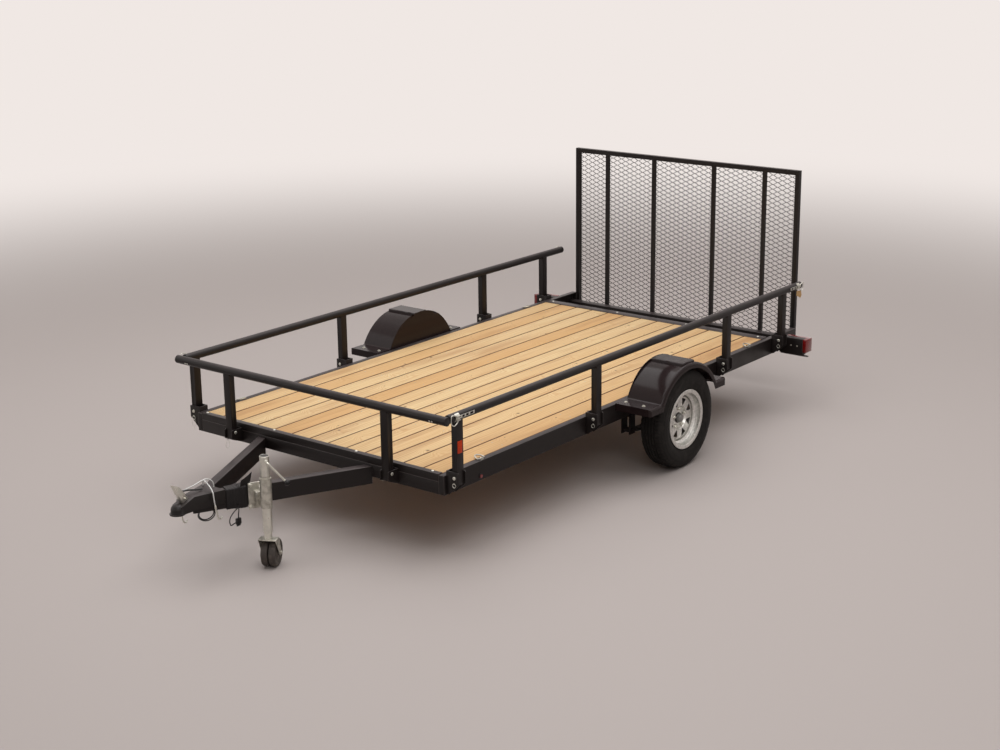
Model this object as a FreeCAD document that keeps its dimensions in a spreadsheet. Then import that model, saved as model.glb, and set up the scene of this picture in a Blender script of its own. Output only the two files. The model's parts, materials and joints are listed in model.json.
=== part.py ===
import FreeCAD, Part
import math
import os
import Sketcher

# Single-axle utility trailer with a board deck, fold-down rails and a mesh ramp gate.
# Millimetres, +Z up. The hitch points to -Y, the gate to +Y, and the trailer's left side is +X.
# The origin lies on the ground below the middle of the whole trailer.

SIZES = {
    # Frame
    "beam_half": 946.0,
    "frame_over": 330.0,
    "beam_depth": 110.0,
    "beam_flange": 37.0,
    "beam_wall": 5.0,
    "frame_lift": 25.0,
    "channel_flange": 40.0,
    "front_cover": 35.0,
    "rear_cover": 68.0,
    "rear_angle_drop": 93.0,
    "cross_leg": 50.0,
    "cross_first": 560.0,
    "cross_last": 320.0,
    "cross_count": 5,
    "rear_bar_depth": 60.0,
    "rear_bar_rise": 55.0,
    # Deck
    "deck_length": 3440.0,
    "board_thick": 38.0,
    "board_gap": 1.5,
    "board_count": 13,
    # Tongue and coupler
    "tongue_reach": 1045.0,
    "arm_tip": 143.0,
    "arm_width": 51.0,
    "arm_depth": 102.0,
    "arm_drop": 48.0,
    "arm_angle": 26.0,
    "coupler_wall": 6.0,
    "coupler_length": 300.0,
    "coupler_shoulder": 130.0,
    "coupler_neck": 36.0,
    "coupler_depth": 70.0,
    "ball_radius": 25.4,
    "ball_gap": 0.8,
    "ball_drop": 47.0,
    "dome_wall": 8.8,
    "lip_over": 7.0,
    "lip_thick": 6.0,
    "nose_rise": 21.0,
    "lever_width": 28.0,
    "lever_thick": 3.0,
    "lever_foot": 73.0,
    "lever_base": 53.0,
    "lever_rise": 119.0,
    "lever_lean": 58.0,
    "lever_tip": 40.0,
    "lever_tip_drop": 17.0,
    # Axle, springs and wheels
    "axle_share": 0.5353,
    "axle_radius": 30.0,
    "axle_over": 94.0,
    "spindle_radius": 15.5,
    "spindle_reach": 70.0,
    "wheel_offset": 155.0,
    "tyre_radius": 305.0,
    "tyre_shoulder_half": 70.0,
    "tyre_shoulder_drop": 8.0,
    "tyre_tread_half": 58.0,
    "tyre_sidewall_share": 0.742,
    "tyre_shoulder_round": 15.0,
    "tyre_crown_round": 900.0,
    "rim_half": 68.0,
    "rim_bead_half": 64.0,
    "rim_flange": 17.5,
    "rim_seat_radius": 165.0,
    "rim_drop": 19.0,
    "rim_drop_half": 26.0,
    "rim_wall": 4.0,
    "disc_wall": 5.0,
    "disc_seat": 4.0,
    "disc_rise": 12.0,
    "disc_bore": 33.0,
    "disc_seat_radius": 69.0,
    "disc_step": 8.0,
    "disc_edge": 18.0,
    "spoke_hole_count": 8,
    "spoke_hole_inset": 4.0,
    "spoke_hole_margin": 6.0,
    "spoke_hole_half": 26.0,
    "hub_radius": 31.0,
    "hub_flange_radius": 62.0,
    "hub_flange_wall": 12.0,
    "hub_inner": 52.0,
    "hub_cap_radius": 26.0,
    "hub_cap_end": 38.0,
    "spindle_gap": 0.5,
    "lug_count": 5,
    "lug_circle": 57.0,
    "lug_radius": 9.5,
    "lug_length": 16.0,
    "spring_reach": 265.0,
    "spring_width": 45.0,
    "leaf_thick": 7.0,
    "leaf_count": 4,
    "leaf_round": 5800.0,
    "axle_seat": 57.0,
    "eye_rise": 14.0,
    "eye_radius": 16.0,
    "eye_bolt": 7.0,
    "hanger_wall": 6.0,
    "hanger_length": 60.0,
    "hanger_drop": 22.0,
    "hanger_gap": 2.0,
    "axle_pad_half": 45.0,
    "axle_plate_wall": 8.0,
    "u_bolt_radius": 6.0,
    # Fenders
    "fender_clear": 50.0,
    "fender_width": 249.0,
    "fender_wall": 4.0,
    "fender_step": 5.0,
    "fender_lip": 35.0,
    "fender_skirt": 45.0,
    "fender_front_flange": 125.0,
    "fender_rear_flange": 105.0,
    "fender_round": 18.0,
    "fender_bend": 14.0,
    # Rails
    "rail_over_fender": 137.0,
    "rail_radius": 24.0,
    "rail_short": 70.0,
    "rail_front_gap": 10.0,
    "post_offset": 55.0,
    "post_thick": 38.0,
    "post_width": 50.0,
    "post_tail": 40.0,
    "post_first": 50.0,
    "post_before_axle": 710.0,
    "post_after_axle": 737.0,
    "post_last": 300.0,
    "front_post_beside_arm": 160.0,
    "pivot_drop": 7.0,
    "front_pivot_drop": 38.0,
    "front_rail_over": 79.0,
    "bracket_wall": 5.0,
    "bracket_gap": 1.0,
    "bracket_ear": 84.0,
    "bracket_foot": 18.0,
    "bracket_drop": 96.0,
    "bracket_rise": 34.0,
    "front_bracket_drop": 62.0,
    "front_bracket_rise": 18.0,
    "bracket_shoulder": 36.0,
    "pivot_radius": 5.0,
    "pivot_fit": 0.5,
    "pivot_head": 10.0,
    "pivot_head_depth": 6.0,
    "lock_pin_radius": 4.0,
    "lock_pin_drop": 29.0,
    "ring_radius": 11.0,
    "ring_wire": 1.5,
    # Latches
    "latch_length": 90.0,
    "latch_half": 13.0,
    "latch_seat": 12.0,
    "latch_proud": 5.0,
    "latch_start": 8.0,
    # Gate
    "gate_inset": 20.0,
    "gate_lift": 2.0,
    "gate_height": 1194.0,
    "gate_tube": 32.0,
    "gate_gap": 14.0,
    "upright_tube": 25.0,
    "upright_a_share": -0.6987,
    "upright_b_share": -0.2646,
    "upright_c_share": 0.2721,
    "upright_d_share": 0.7084,
    "mesh_thick": 3.0,
    "mesh_long": 130.0,
    "mesh_short": 67.0,
    "strand": 3.4,
    "hinge_pin": 8.0,
    "hinge_fit": 0.3,
    "hinge_wall": 6.0,
    "hinge_gap": 4.0,
    "hinge_height": 30.0,
    # Lamps
    "lamp_ahead": 215.0,
    "lamp_width": 175.0,
    "lamp_depth": 48.0,
    "lamp_height": 112.0,
    "lamp_drop": 8.0,
    "lens_width": 150.0,
    "lens_height": 92.0,
    "lens_depth": 34.0,
    "lens_side": 26.0,
    "marker_back": 303.0,
    "marker_rise": 25.0,
    "marker_radius": 10.0,
    "marker_depth": 9.0,
    # Jack
    "jack_from_tip": 408.0,
    "jack_standoff": 130.5,
    "jack_top": 624.0,
    "jack_bottom": 205.0,
    "jack_radius": 25.0,
    "jack_bore": 21.3,
    "leg_radius": 21.0,
    "leg_wall": 3.0,
    "leg_gap": 0.5,
    "leg_length": 330.0,
    "jack_cap": 6.0,
    "swivel_radius": 40.0,
    "swivel_wall": 8.0,
    "swivel_pin": 14.0,
    "swivel_gap": 0.5,
    "mount_half": 58.0,
    "mount_over": 21.0,
    "mount_arm": 30.0,
    "mount_arm_reach": 46.0,
    "collar_radius": 31.0,
    "collar_drop": 30.0,
    "collar_rise": 132.0,
    "crank_drop": 26.0,
    "crank_radius": 6.0,
    "crank_reach": 86.0,
    "crank_fall": 106.0,
    "crank_shaft": 30.0,
    "crank_handle": 40.0,
    "knob_radius": 14.0,
    "caster_radius": 76.0,
    "caster_offset": 40.0,
    "caster_turn": 28.0,
    "caster_wheel": 37.0,
    "caster_space": 6.0,
    "caster_axle": 8.0,
    "fork_wall": 5.0,
    "fork_gap": 5.0,
    "fork_clear": 10.0,
    "fork_front": 28.0,
    "fork_rear": 30.0,
    # Tie-downs
    "tie_front": 350.0,
    "tie_last": 590.0,
    "tie_width": 56.0,
    "tie_wire": 5.0,
    "tie_plate": 3.0,
    "tie_plate_width": 30.0,
    # Safety cables and wiring
    "cable_radius": 3.5,
    "hook_radius": 4.0,
    "sleeve_wall": 7.0,
    "sleeve_from": 62.0,
    "sleeve_length": 114.0,
    "lead_radius": 3.0,
    "plug_width": 18.0,
    "plug_length": 30.0,
    "plug_height": 44.0,
    "coil_radius": 44.0,
    "coil_bundle": 5.0,
    "coil_tilt": 28.0,
    "coil_back": 808.0,
    "coil_gap": 0.3,
    # Cutting overrun
    "overrun": 20.0,
}

document = FreeCAD.newDocument("utility_trailer")
sheet = document.addObject("Spreadsheet::Sheet", "Sizes")
for row, (alias, amount) in enumerate(SIZES.items(), start=1):
    cell = "A" + str(row)
    sheet.set(cell, str(amount))
    sheet.setAlias(cell, alias)
document.recompute()


class Size:
    """A value together with the sheet expression that gives it."""

    def __init__(self, value, text):
        self.value = float(value)
        self.text = text

    @staticmethod
    def of(item):
        return item if isinstance(item, Size) else Size(item, repr(item))

    def join(self, other, sign, result):
        return Size(result, "(" + self.text + " " + sign + " " + other.text + ")")

    def __add__(self, other):
        other = Size.of(other)
        return self.join(other, "+", self.value + other.value)

    def __sub__(self, other):
        other = Size.of(other)
        return self.join(other, "-", self.value - other.value)

    def __mul__(self, other):
        other = Size.of(other)
        return self.join(other, "*", self.value * other.value)

    def __truediv__(self, other):
        other = Size.of(other)
        return self.join(other, "/", self.value / other.value)

    def __neg__(self):
        return Size(-self.value, "(0 - " + self.text + ")")

    __radd__ = __add__
    __rmul__ = __mul__

    def __rsub__(self, other):
        return Size.of(other) - self


class Table:
    """The sheet's cells, each read by its alias."""

    def __getattr__(self, alias):
        return Size(sheet.get(alias), "Sizes." + alias)


def cosine(angle):
    return Size(math.cos(math.radians(angle.value)), "cos(" + angle.text + ")")


def sine(angle):
    return Size(math.sin(math.radians(angle.value)), "sin(" + angle.text + ")")


def root(size):
    return Size(math.sqrt(size.value), "sqrt(" + size.text + ")")


s = Table()
ZERO = Size(0.0, "0")
ARC_SHARE = 0.45
TOUCH = 1e-6
AXES = {"X": (1, 0, 0), "Y": (0, 1, 0), "Z": (0, 0, 1)}
nodes = []


def place(item, x, y, z, turn=None):
    """Put an item at a bound place, turned as given."""
    base = FreeCAD.Vector(x.value, y.value, z.value)
    item.Placement = FreeCAD.Placement(base, turn or FreeCAD.Rotation())
    for axis, size in zip("xyz", (x, y, z)):
        item.setExpression("Placement.Base." + axis, size.text)
    return item


def bind(item, prop, size):
    setattr(item, prop, size.value)
    item.setExpression(prop, size.text)


def node(item, label):
    """Name a finished piece, which is written to its own file."""
    item.Label = label
    nodes.append(item)
    return item


def box(name, low, high):
    """A box between two bound corners."""
    item = document.addObject("Part::Box", name)
    for prop, a, b in zip(("Length", "Width", "Height"), low, high):
        bind(item, prop, b - a)
    return place(item, *low)


def cylinder(name, axis, start, radius, length, turn=None):
    """A cylinder from a bound point along an axis, or along its own axis turned."""
    item = document.addObject("Part::Cylinder", name)
    bind(item, "Radius", radius)
    bind(item, "Height", length)
    if turn is None:
        turn = FreeCAD.Rotation(FreeCAD.Vector(0, 0, 1), FreeCAD.Vector(*AXES[axis]))
    return place(item, *start, turn)


def cut(name, base, *tools):
    """A base with tools taken away, one after another."""
    for index, tool in enumerate(tools):
        item = document.addObject("Part::Cut", name + "_cut" + str(index))
        item.Base = base
        item.Tool = tool
        base = item
    return base


def fuse(name, *parts):
    item = document.addObject("Part::MultiFuse", name)
    item.Shapes = list(parts)
    return item


def group(name, parts):
    """Separate solids kept as one piece."""
    item = document.addObject("Part::Compound", name)
    item.Links = list(parts)
    return item


def mirror(item, name):
    """The same piece on the other side of the trailer's middle plane."""
    other = document.addObject("Part::Mirroring", name)
    other.Source = item
    other.Base = FreeCAD.Vector(0, 0, 0)
    other.Normal = FreeCAD.Vector(1, 0, 0)
    return other


def pair(make, label):
    """Make a piece on the left side and mirror it to the right side."""
    left = node(make(label + "_left"), label + "_left")
    right = node(mirror(left, label + "_right"), label + "_right")
    return left, right


def both(make, label):
    """Like pieces on both sides of the frame, kept as one node."""
    left = make(label + "_left")
    return node(group(label, [left, mirror(left, label + "_right")]), label)


def arc_middle(start, end, radius):
    """The point halfway along an arc that bulges to the left of its chord for a positive radius."""
    du, dv = end[0] - start[0], end[1] - start[1]
    chord = math.hypot(du, dv)
    rise = abs(radius) - math.sqrt(max(radius * radius - chord * chord / 4, 0))
    side = math.copysign(rise, radius) / chord
    return (start[0] + end[0]) / 2 - dv * side, (start[1] + end[1]) / 2 + du * side


def sketch(body, role, outline):
    """A closed outline on one of the body's planes, each corner bound to the sheet.

    A corner is (u, v), or (u, v, radius) where an arc of that radius leads to it, with a
    negative radius for an arc that bulges to the right.
    """
    item = body.newObject("Sketcher::SketchObject", body.Name + "_outline")
    plane = [feature for feature in body.Origin.OriginFeatures if feature.Role == role][0]
    item.AttachmentSupport = [(plane, "")]
    item.MapMode = "FlatFace"
    corners = [(corner[0].value, corner[1].value) for corner in outline]
    for index, corner in enumerate(outline):
        start, end = corners[index - 1], corners[index]
        a, b = FreeCAD.Vector(*start, 0), FreeCAD.Vector(*end, 0)
        if len(corner) == 3:
            middle = FreeCAD.Vector(*arc_middle(start, end, corner[2].value), 0)
            ends = (a, b) if corner[2].value < 0 else (b, a)
            item.addGeometry(Part.Arc(ends[0], middle, ends[1]))
        else:
            item.addGeometry(Part.LineSegment(a, b))
    ends = [(2, 1) if len(corner) == 3 and corner[2].value > 0 else (1, 2) for corner in outline]
    for index, corner in enumerate(outline):
        after = (index + 1) % len(outline)
        item.addConstraint(Sketcher.Constraint("Coincident", index, ends[index][1], after, ends[after][0]))
        for kind, size in zip(("DistanceX", "DistanceY"), corner):
            number = item.addConstraint(
                Sketcher.Constraint(kind, -1, 1, index, ends[index][1], size.value))
            item.setExpression("Constraints[" + str(number) + "]", size.text)
        if len(corner) == 3:
            size = corner[2]
            number = item.addConstraint(Sketcher.Constraint("Radius", index, abs(size.value)))
            text = size.text if size.value > 0 else (-size).text
            item.setExpression("Constraints[" + str(number) + "]", text)
    return item


PLANES = {"X": "YZ_Plane", "Y": "XZ_Plane", "Z": "XY_Plane"}


def prism(name, axis, outline, start, length):
    """An outline carried along an axis from a bound start.

    Outlines are in (y, z) for the X axis, (x, z) for the Y axis and (x, y) for the Z axis.
    """
    body = document.addObject("PartDesign::Body", name)
    profile = sketch(body, PLANES[axis], outline)
    pad = body.newObject("PartDesign::Pad", name + "_pad")
    pad.Profile = profile
    pad.Reversed = axis == "Y"
    bind(pad, "Length", length)
    base = [start if letter == axis else ZERO for letter in "XYZ"]
    return place(body, *base)


def turned(name, axis, outline, centre):
    """An outline turned round an axis through a bound centre.

    The outline is in (distance along the axis, radius).
    """
    body = document.addObject("PartDesign::Body", name)
    if axis == "Z":
        outline = [(corner[1], corner[0]) + tuple(-size for size in corner[2:]) for corner in outline]
    profile = sketch(body, "XY_Plane" if axis == "X" else "XZ_Plane", outline)
    spin = body.newObject("PartDesign::Revolution", name + "_turn")
    spin.Profile = profile
    spin.ReferenceAxis = (profile, ["H_Axis" if axis == "X" else "V_Axis"])
    spin.Angle = 360.0
    return place(body, *centre)


def tube_along(name, points, radius):
    """A round tube on straight runs joined by tangent arcs, each as large as its two runs allow."""
    corners = [FreeCAD.Vector(*[getattr(part, "value", part) for part in point]) for point in points]
    edges = []
    last = corners[0]
    radii = []
    for before, corner, after in zip(corners, corners[1:], corners[2:]):
        back = (before - corner).normalize()
        on = (after - corner).normalize()
        half_turn = (math.pi - back.getAngle(on)) / 2
        reach = min(before.distanceToPoint(corner), after.distanceToPoint(corner)) * ARC_SHARE
        bend = reach / math.tan(half_turn)
        radii.append(bend)
        middle = corner + (back + on).normalize() * (bend / math.cos(half_turn) - bend)
        entry = corner + back * reach
        edges.append(Part.LineSegment(last, entry).toShape())
        last = corner + on * reach
        edges.append(Part.Arc(entry, middle, last).toShape())
    edges.append(Part.LineSegment(last, corners[-1]).toShape())
    path = Part.Wire(edges)
    ring = Part.Wire([Part.Circle(corners[0], corners[1] - corners[0], radius.value).toShape()])
    item = document.addObject("Part::Feature", name)
    item.Shape = path.makePipeShell([ring], True, False)
    share = item.Shape.Volume / (math.pi * radius.value ** 2 * path.Length)
    print(name, "length", round(path.Length, 1), "volume share", round(share, 4),
          "radii", [round(bend, 1) for bend in radii])
    return item


def rounded(body, length, radius, keep):
    """Round the edges of a prism's far end that are kept by a test of their middle point."""
    document.recompute()
    pad = body.Tip
    names = []
    for number, edge in enumerate(pad.Shape.Edges):
        ends = [vertex.Point for vertex in edge.Vertexes]
        if all(abs(point.x - length.value) < TOUCH for point in ends) and keep(ends):
            names.append("Edge" + str(number + 1))
    soft = body.newObject("PartDesign::Fillet", body.Name + "_soft")
    soft.Base = (pad, names)
    bind(soft, "Radius", radius)
    body.Tip = soft
    return body


# Places that several pieces share
beam_length = s.deck_length + s.frame_over
front = (s.tongue_reach - beam_length - s.gate_gap - s.gate_tube) / 2
beam_end = front + beam_length
axle_y = front + beam_length * s.axle_share
axle_z = s.tyre_radius
track_half = s.beam_half + s.wheel_offset
frame_bottom = axle_z + s.axle_radius + s.frame_lift
frame_top = frame_bottom + s.beam_depth
half_inner = s.beam_half - s.beam_flange
half_web = s.beam_half - s.beam_wall
board_bottom = frame_top - s.board_thick
arm_top = frame_top - s.arm_drop
arm_bottom = arm_top - s.arm_depth
lean = sine(s.arm_angle) / cosine(s.arm_angle)
arm_outer = (s.tongue_reach - s.arm_tip) * lean
ball_z = arm_top - s.ball_drop
leaf_top = axle_z - s.axle_seat
eye_z = leaf_top + s.eye_rise
fender_radius = s.tyre_radius + s.fender_clear
rail_z = axle_z + fender_radius + s.rail_over_fender
gate_half = s.beam_half - s.gate_inset
gate_front = beam_end + s.gate_gap
gate_middle = gate_front + s.gate_tube / 2
gate_bottom = frame_bottom + s.gate_lift
gate_top = gate_bottom + s.gate_height
hinge_z = gate_bottom + s.gate_tube / 2


def side_beam(name):
    """A channel beam, open to the inside, with closed ends."""
    low = (half_inner, front, frame_bottom)
    high = (s.beam_half, beam_end, frame_top)
    outer = box(name + "_outer", low, high)
    hollow = box(
        name + "_hollow",
        (half_inner - s.overrun, front + s.beam_wall, frame_bottom + s.beam_wall),
        (half_web, beam_end - s.beam_wall, frame_top - s.beam_wall))
    return cut(name, outer, hollow)


def front_channel():
    """The lower front member, a channel open to the rear."""
    outer = box(
        "front_channel_outer", (-half_inner, front, frame_bottom),
        (half_inner, front + s.channel_flange, board_bottom))
    hollow = box(
        "front_channel_hollow",
        (-half_inner - s.overrun, front + s.beam_wall, frame_bottom + s.beam_wall),
        (half_inner + s.overrun, front + s.channel_flange + s.overrun, board_bottom - s.beam_wall))
    return cut("front_channel", outer, hollow)


def board_cover(name, face, cover, bottom, inward):
    """An angle that covers the ends of the boards, with its upright leg at a face of the deck."""
    top = frame_top + s.beam_wall
    wall = s.beam_wall * inward
    reach = cover * inward
    outline = [
        (face, bottom), (face + wall, bottom), (face + wall, frame_top),
        (face + reach, frame_top), (face + reach, top), (face, top)]
    return prism(name, "X", outline, -half_inner, half_inner * 2)


def crossmembers():
    """Angles across the frame under the boards."""
    angles = []
    pitch = (s.deck_length - s.cross_first - s.cross_last) / (s.cross_count - 1)
    for index in range(int(s.cross_count.value)):
        y = front + s.cross_first + pitch * index
        bottom = board_bottom - s.cross_leg
        outline = [
            (y, bottom), (y + s.beam_wall, bottom), (y + s.beam_wall, board_bottom - s.beam_wall),
            (y + s.cross_leg, board_bottom - s.beam_wall), (y + s.cross_leg, board_bottom),
            (y, board_bottom)]
        angles.append(prism("crossmember" + str(index), "X", outline, -half_web, half_web * 2))
    return group("crossmembers", angles)


def deck_boards():
    """Boards laid lengthwise with even gaps between the beams' flanges."""
    pitch = half_inner * 2 / s.board_count
    boards = []
    for index in range(int(s.board_count.value)):
        x = -half_inner + s.board_gap / 2 + pitch * index
        boards.append(box(
            "board" + str(index), (x, front + s.beam_wall + s.board_gap, board_bottom),
            (x + pitch - s.board_gap, front + s.deck_length - s.beam_wall - s.board_gap, frame_top)))
    return group("deck_boards", boards)


def rear_bar():
    """The bar between the beams' rear ends, ahead of the gate."""
    back = beam_end - s.beam_wall
    return box(
        "rear_bar", (-half_web, back - s.rear_bar_depth, frame_bottom + s.beam_wall),
        (half_web, back, frame_bottom + s.rear_bar_rise))


def tongue_arm(name):
    """One rectangular tube of the tongue, cut to the frame's face and to the middle plane."""
    inner = arm_outer - s.arm_width / cosine(s.arm_angle)
    outline = [
        (inner, front), (arm_outer, front),
        (ZERO, front - arm_outer / lean), (ZERO, front - inner / lean)]
    return prism(name, "Z", outline, arm_bottom, s.arm_depth)


coupler_bottom = arm_top - s.coupler_depth
dome_radius = s.ball_radius + s.ball_gap + s.dome_wall
lip_radius = dome_radius + s.lip_over
nose_y = front - s.tongue_reach + lip_radius
nose_top = ball_z + s.nose_rise


def coupler():
    """A pressed coupler over the arms' tips, with a domed nose, a flared lip and a ball socket."""
    behind = s.tongue_reach - s.coupler_length
    back = front - behind
    shoulder = front - s.tongue_reach + s.coupler_shoulder
    top = arm_top + s.coupler_wall
    back_half = arm_outer - behind * lean + s.coupler_wall / cosine(s.arm_angle)

    def skin(name, inset, low):
        plan = [
            (back_half - inset, back), (s.coupler_neck - inset, shoulder),
            (s.coupler_neck - inset, nose_y), (inset - s.coupler_neck, nose_y),
            (inset - s.coupler_neck, shoulder), (inset - back_half, back)]
        solid = prism(name + "_plan", "Z", plan, low, top - inset - low)
        side = [
            (back + s.overrun, low), (back + s.overrun, top - inset), (shoulder, top - inset),
            (nose_y, nose_top - inset), (nose_y, low)]
        profile = prism(name + "_side", "X", side, -arm_outer, arm_outer * 2)
        shape = document.addObject("Part::Common", name)
        shape.Base = solid
        shape.Tool = profile
        return shape

    shell = skin("coupler_skin", ZERO, coupler_bottom)
    hollow = skin("coupler_hollow", s.coupler_wall, coupler_bottom - s.overrun)
    dome = document.addObject("Part::Sphere", "coupler_dome")
    bind(dome, "Radius", dome_radius)
    place(dome, ZERO, nose_y, ball_z)
    collar = cylinder(
        "coupler_collar", "Z", (ZERO, nose_y, coupler_bottom), dome_radius, ball_z - coupler_bottom)
    lip = cylinder("coupler_lip", "Z", (ZERO, nose_y, coupler_bottom), lip_radius, s.lip_thick)
    trim = box(
        "coupler_trim", (-arm_outer, nose_y - s.tongue_reach, ZERO),
        (arm_outer, nose_y + s.tongue_reach, coupler_bottom))
    socket = document.addObject("Part::Sphere", "ball_socket")
    bind(socket, "Radius", s.ball_radius + s.ball_gap)
    place(socket, ZERO, nose_y, ball_z)
    throat = cylinder(
        "ball_throat", "Z", (ZERO, nose_y, coupler_bottom - s.overrun),
        s.ball_radius + s.ball_gap, ball_z - coupler_bottom + s.overrun)
    nose = fuse("coupler_nose", dome, collar, lip)
    pressed = cut("coupler_pressed", shell, hollow)
    whole = fuse("coupler_whole", pressed, nose)
    return cut("coupler", whole, trim, socket, throat), shell


def coupler_lever(seat):
    """The folded latch lever that stands on the coupler behind its dome, open to the rear."""
    foot_y = front - s.tongue_reach + s.lever_foot
    tip_y = foot_y - s.lever_lean
    tip_z = nose_top + s.lever_rise
    outer = prism("coupler_lever_outer", "X", [
        (foot_y, nose_top), (foot_y + s.lever_base, nose_top),
        (tip_y + s.lever_tip, tip_z - s.lever_tip_drop), (tip_y, tip_z)],
        -s.lever_width / 2, s.lever_width)
    lean_over = s.lever_lean / s.lever_rise * s.overrun
    inner_foot = foot_y + s.lever_thick
    inner_tip = tip_y + s.lever_thick
    inner = prism("coupler_lever_inner", "X", [
        (inner_foot + lean_over, nose_top - s.overrun),
        (inner_foot + s.lever_base + s.overrun * 2, nose_top - s.overrun),
        (inner_foot + s.lever_base + s.overrun * 2, tip_z + s.overrun),
        (inner_tip - lean_over, tip_z + s.overrun)],
        s.lever_thick - s.lever_width / 2, s.lever_width - s.lever_thick * 2)
    return cut("coupler_lever", outer, inner, seat)


axle_half = s.beam_half + s.axle_over


def axle():
    """The axle tube with a spindle at each end."""
    tube = cylinder("axle_tube", "X", (-axle_half, axle_y, axle_z), s.axle_radius, axle_half * 2)
    reach = axle_half + s.spindle_reach
    spindle = cylinder("axle_spindle", "X", (-reach, axle_y, axle_z), s.spindle_radius, reach * 2)
    return fuse("axle", tube, spindle)


spring_x = s.beam_half - s.spring_width / 2


def leaf_spring(name):
    """Stacked leaves under the axle, with an eye at each end of the longest."""
    leaves = []
    centre_top = leaf_top
    for index in range(int(s.leaf_count.value)):
        reach = s.spring_reach * (s.leaf_count - index) / s.leaf_count
        sag = s.leaf_round - root(s.leaf_round * s.leaf_round - reach * reach)
        top = centre_top - s.leaf_thick * index + sag
        bottom = top - s.leaf_thick
        outline = [
            (axle_y - reach, bottom), (axle_y + reach, bottom, -s.leaf_round),
            (axle_y + reach, top), (axle_y - reach, top, s.leaf_round)]
        leaves.append(prism(name + "_leaf" + str(index), "X", outline, spring_x - s.spring_width / 2,
                            s.spring_width))
    eyes = []
    for side, sign in (("front", -1), ("rear", 1)):
        y = axle_y + s.spring_reach * sign
        eyes.append(cylinder(
            name + "_eye_" + side, "X", (spring_x - s.spring_width / 2, y, eye_z), s.eye_radius,
            s.spring_width))
    bores = []
    for side, sign in (("front", -1), ("rear", 1)):
        y = axle_y + s.spring_reach * sign
        bores.append(cylinder(
            name + "_bore_" + side, "X",
            (spring_x - s.spring_width, y, eye_z), s.eye_bolt + s.pivot_fit, s.spring_width * 2))
    return cut(name, fuse(name + "_stack", *leaves, *eyes), *bores)


def spring_hanger(name, sign):
    """A folded hanger under the beam with the bolt that carries the spring's eye."""
    y = axle_y + s.spring_reach * sign
    half = s.spring_width / 2 + s.hanger_gap
    outer = half + s.hanger_wall
    bottom = eye_z - s.hanger_drop
    outline = [
        (spring_x - outer, bottom), (spring_x - half, bottom),
        (spring_x - half, frame_bottom - s.hanger_wall), (spring_x + half, frame_bottom - s.hanger_wall),
        (spring_x + half, bottom), (spring_x + outer, bottom),
        (spring_x + outer, frame_bottom), (spring_x - outer, frame_bottom)]
    fold = prism(name + "_fold", "Y", outline, y - s.hanger_length / 2, s.hanger_length)
    reach = outer + s.eye_bolt
    bolt = cylinder(name + "_bolt", "X", (spring_x - reach, y, eye_z), s.eye_bolt, reach * 2)
    return fuse(name, fold, bolt)


def spring_hangers(name):
    return group(name, [spring_hanger(name + "_front", -1), spring_hanger(name + "_rear", 1)])


def axle_clamp(name):
    """The seat, plate and bent bolts that clamp the spring to the axle."""
    low = spring_x - s.spring_width / 2
    high = spring_x + s.spring_width / 2
    bolt = s.u_bolt_radius
    bottom = leaf_top - s.leaf_thick * s.leaf_count
    curl = s.leaf_round - root(s.leaf_round * s.leaf_round - s.axle_pad_half * s.axle_pad_half)
    seat = box(
        name + "_seat", (low, axle_y - s.axle_pad_half, leaf_top + curl),
        (high, axle_y + s.axle_pad_half, axle_z))
    plate = box(
        name + "_plate", (low - bolt * 3, axle_y - s.axle_pad_half, bottom - s.axle_plate_wall),
        (high + bolt * 3, axle_y + s.axle_pad_half, bottom))
    parts = [seat, plate]
    bow = s.axle_radius + bolt * 2
    for side, x in (("in", low - bolt), ("out", high + bolt)):
        for end, sign in (("front", -1), ("rear", 1)):
            y = axle_y + (s.axle_radius + bolt) * sign
            start = bottom - s.axle_plate_wall - bolt
            parts.append(cylinder(name + "_leg_" + side + end, "Z", (x, y, start), bolt, axle_z - start))
        arch = cylinder(name + "_arch_" + side, "X", (x - bolt, axle_y, axle_z), bow, bolt * 2)
        below = box(
            name + "_below_" + side, (x - bolt * 2, axle_y - bow * 2, axle_z - bow * 2),
            (x + bolt * 2, axle_y + bow * 2, axle_z))
        parts.append(cut(name + "_bow_" + side, arch, below))
    tube = cylinder(name + "_axle", "X", (ZERO, axle_y, axle_z), s.axle_radius, axle_half)
    return cut(name, fuse(name + "_whole", *parts), tube)


rim_radius = s.rim_seat_radius + s.rim_flange
rim_drop_radius = s.rim_seat_radius - s.rim_drop
disc_shoulder = rim_drop_radius - s.disc_edge


def tyre(name):
    """The tyre's outer form with its bead in the rim."""
    shoulder = s.tyre_radius - s.tyre_shoulder_drop
    side = (shoulder - rim_radius) * s.tyre_sidewall_share
    tread = s.tyre_radius - s.tyre_tread_half * s.tyre_tread_half / s.tyre_crown_round / 2
    outline = [
        (s.rim_bead_half, s.rim_seat_radius), (s.rim_bead_half, rim_radius),
        (s.tyre_shoulder_half, shoulder, -side),
        (s.tyre_tread_half, tread, -s.tyre_shoulder_round),
        (-s.tyre_tread_half, tread, -s.tyre_crown_round),
        (-s.tyre_shoulder_half, shoulder, -s.tyre_shoulder_round),
        (-s.rim_bead_half, rim_radius, -side),
        (-s.rim_bead_half, s.rim_seat_radius)]
    return turned(name, "X", outline, (track_half, axle_y, axle_z))


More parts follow.
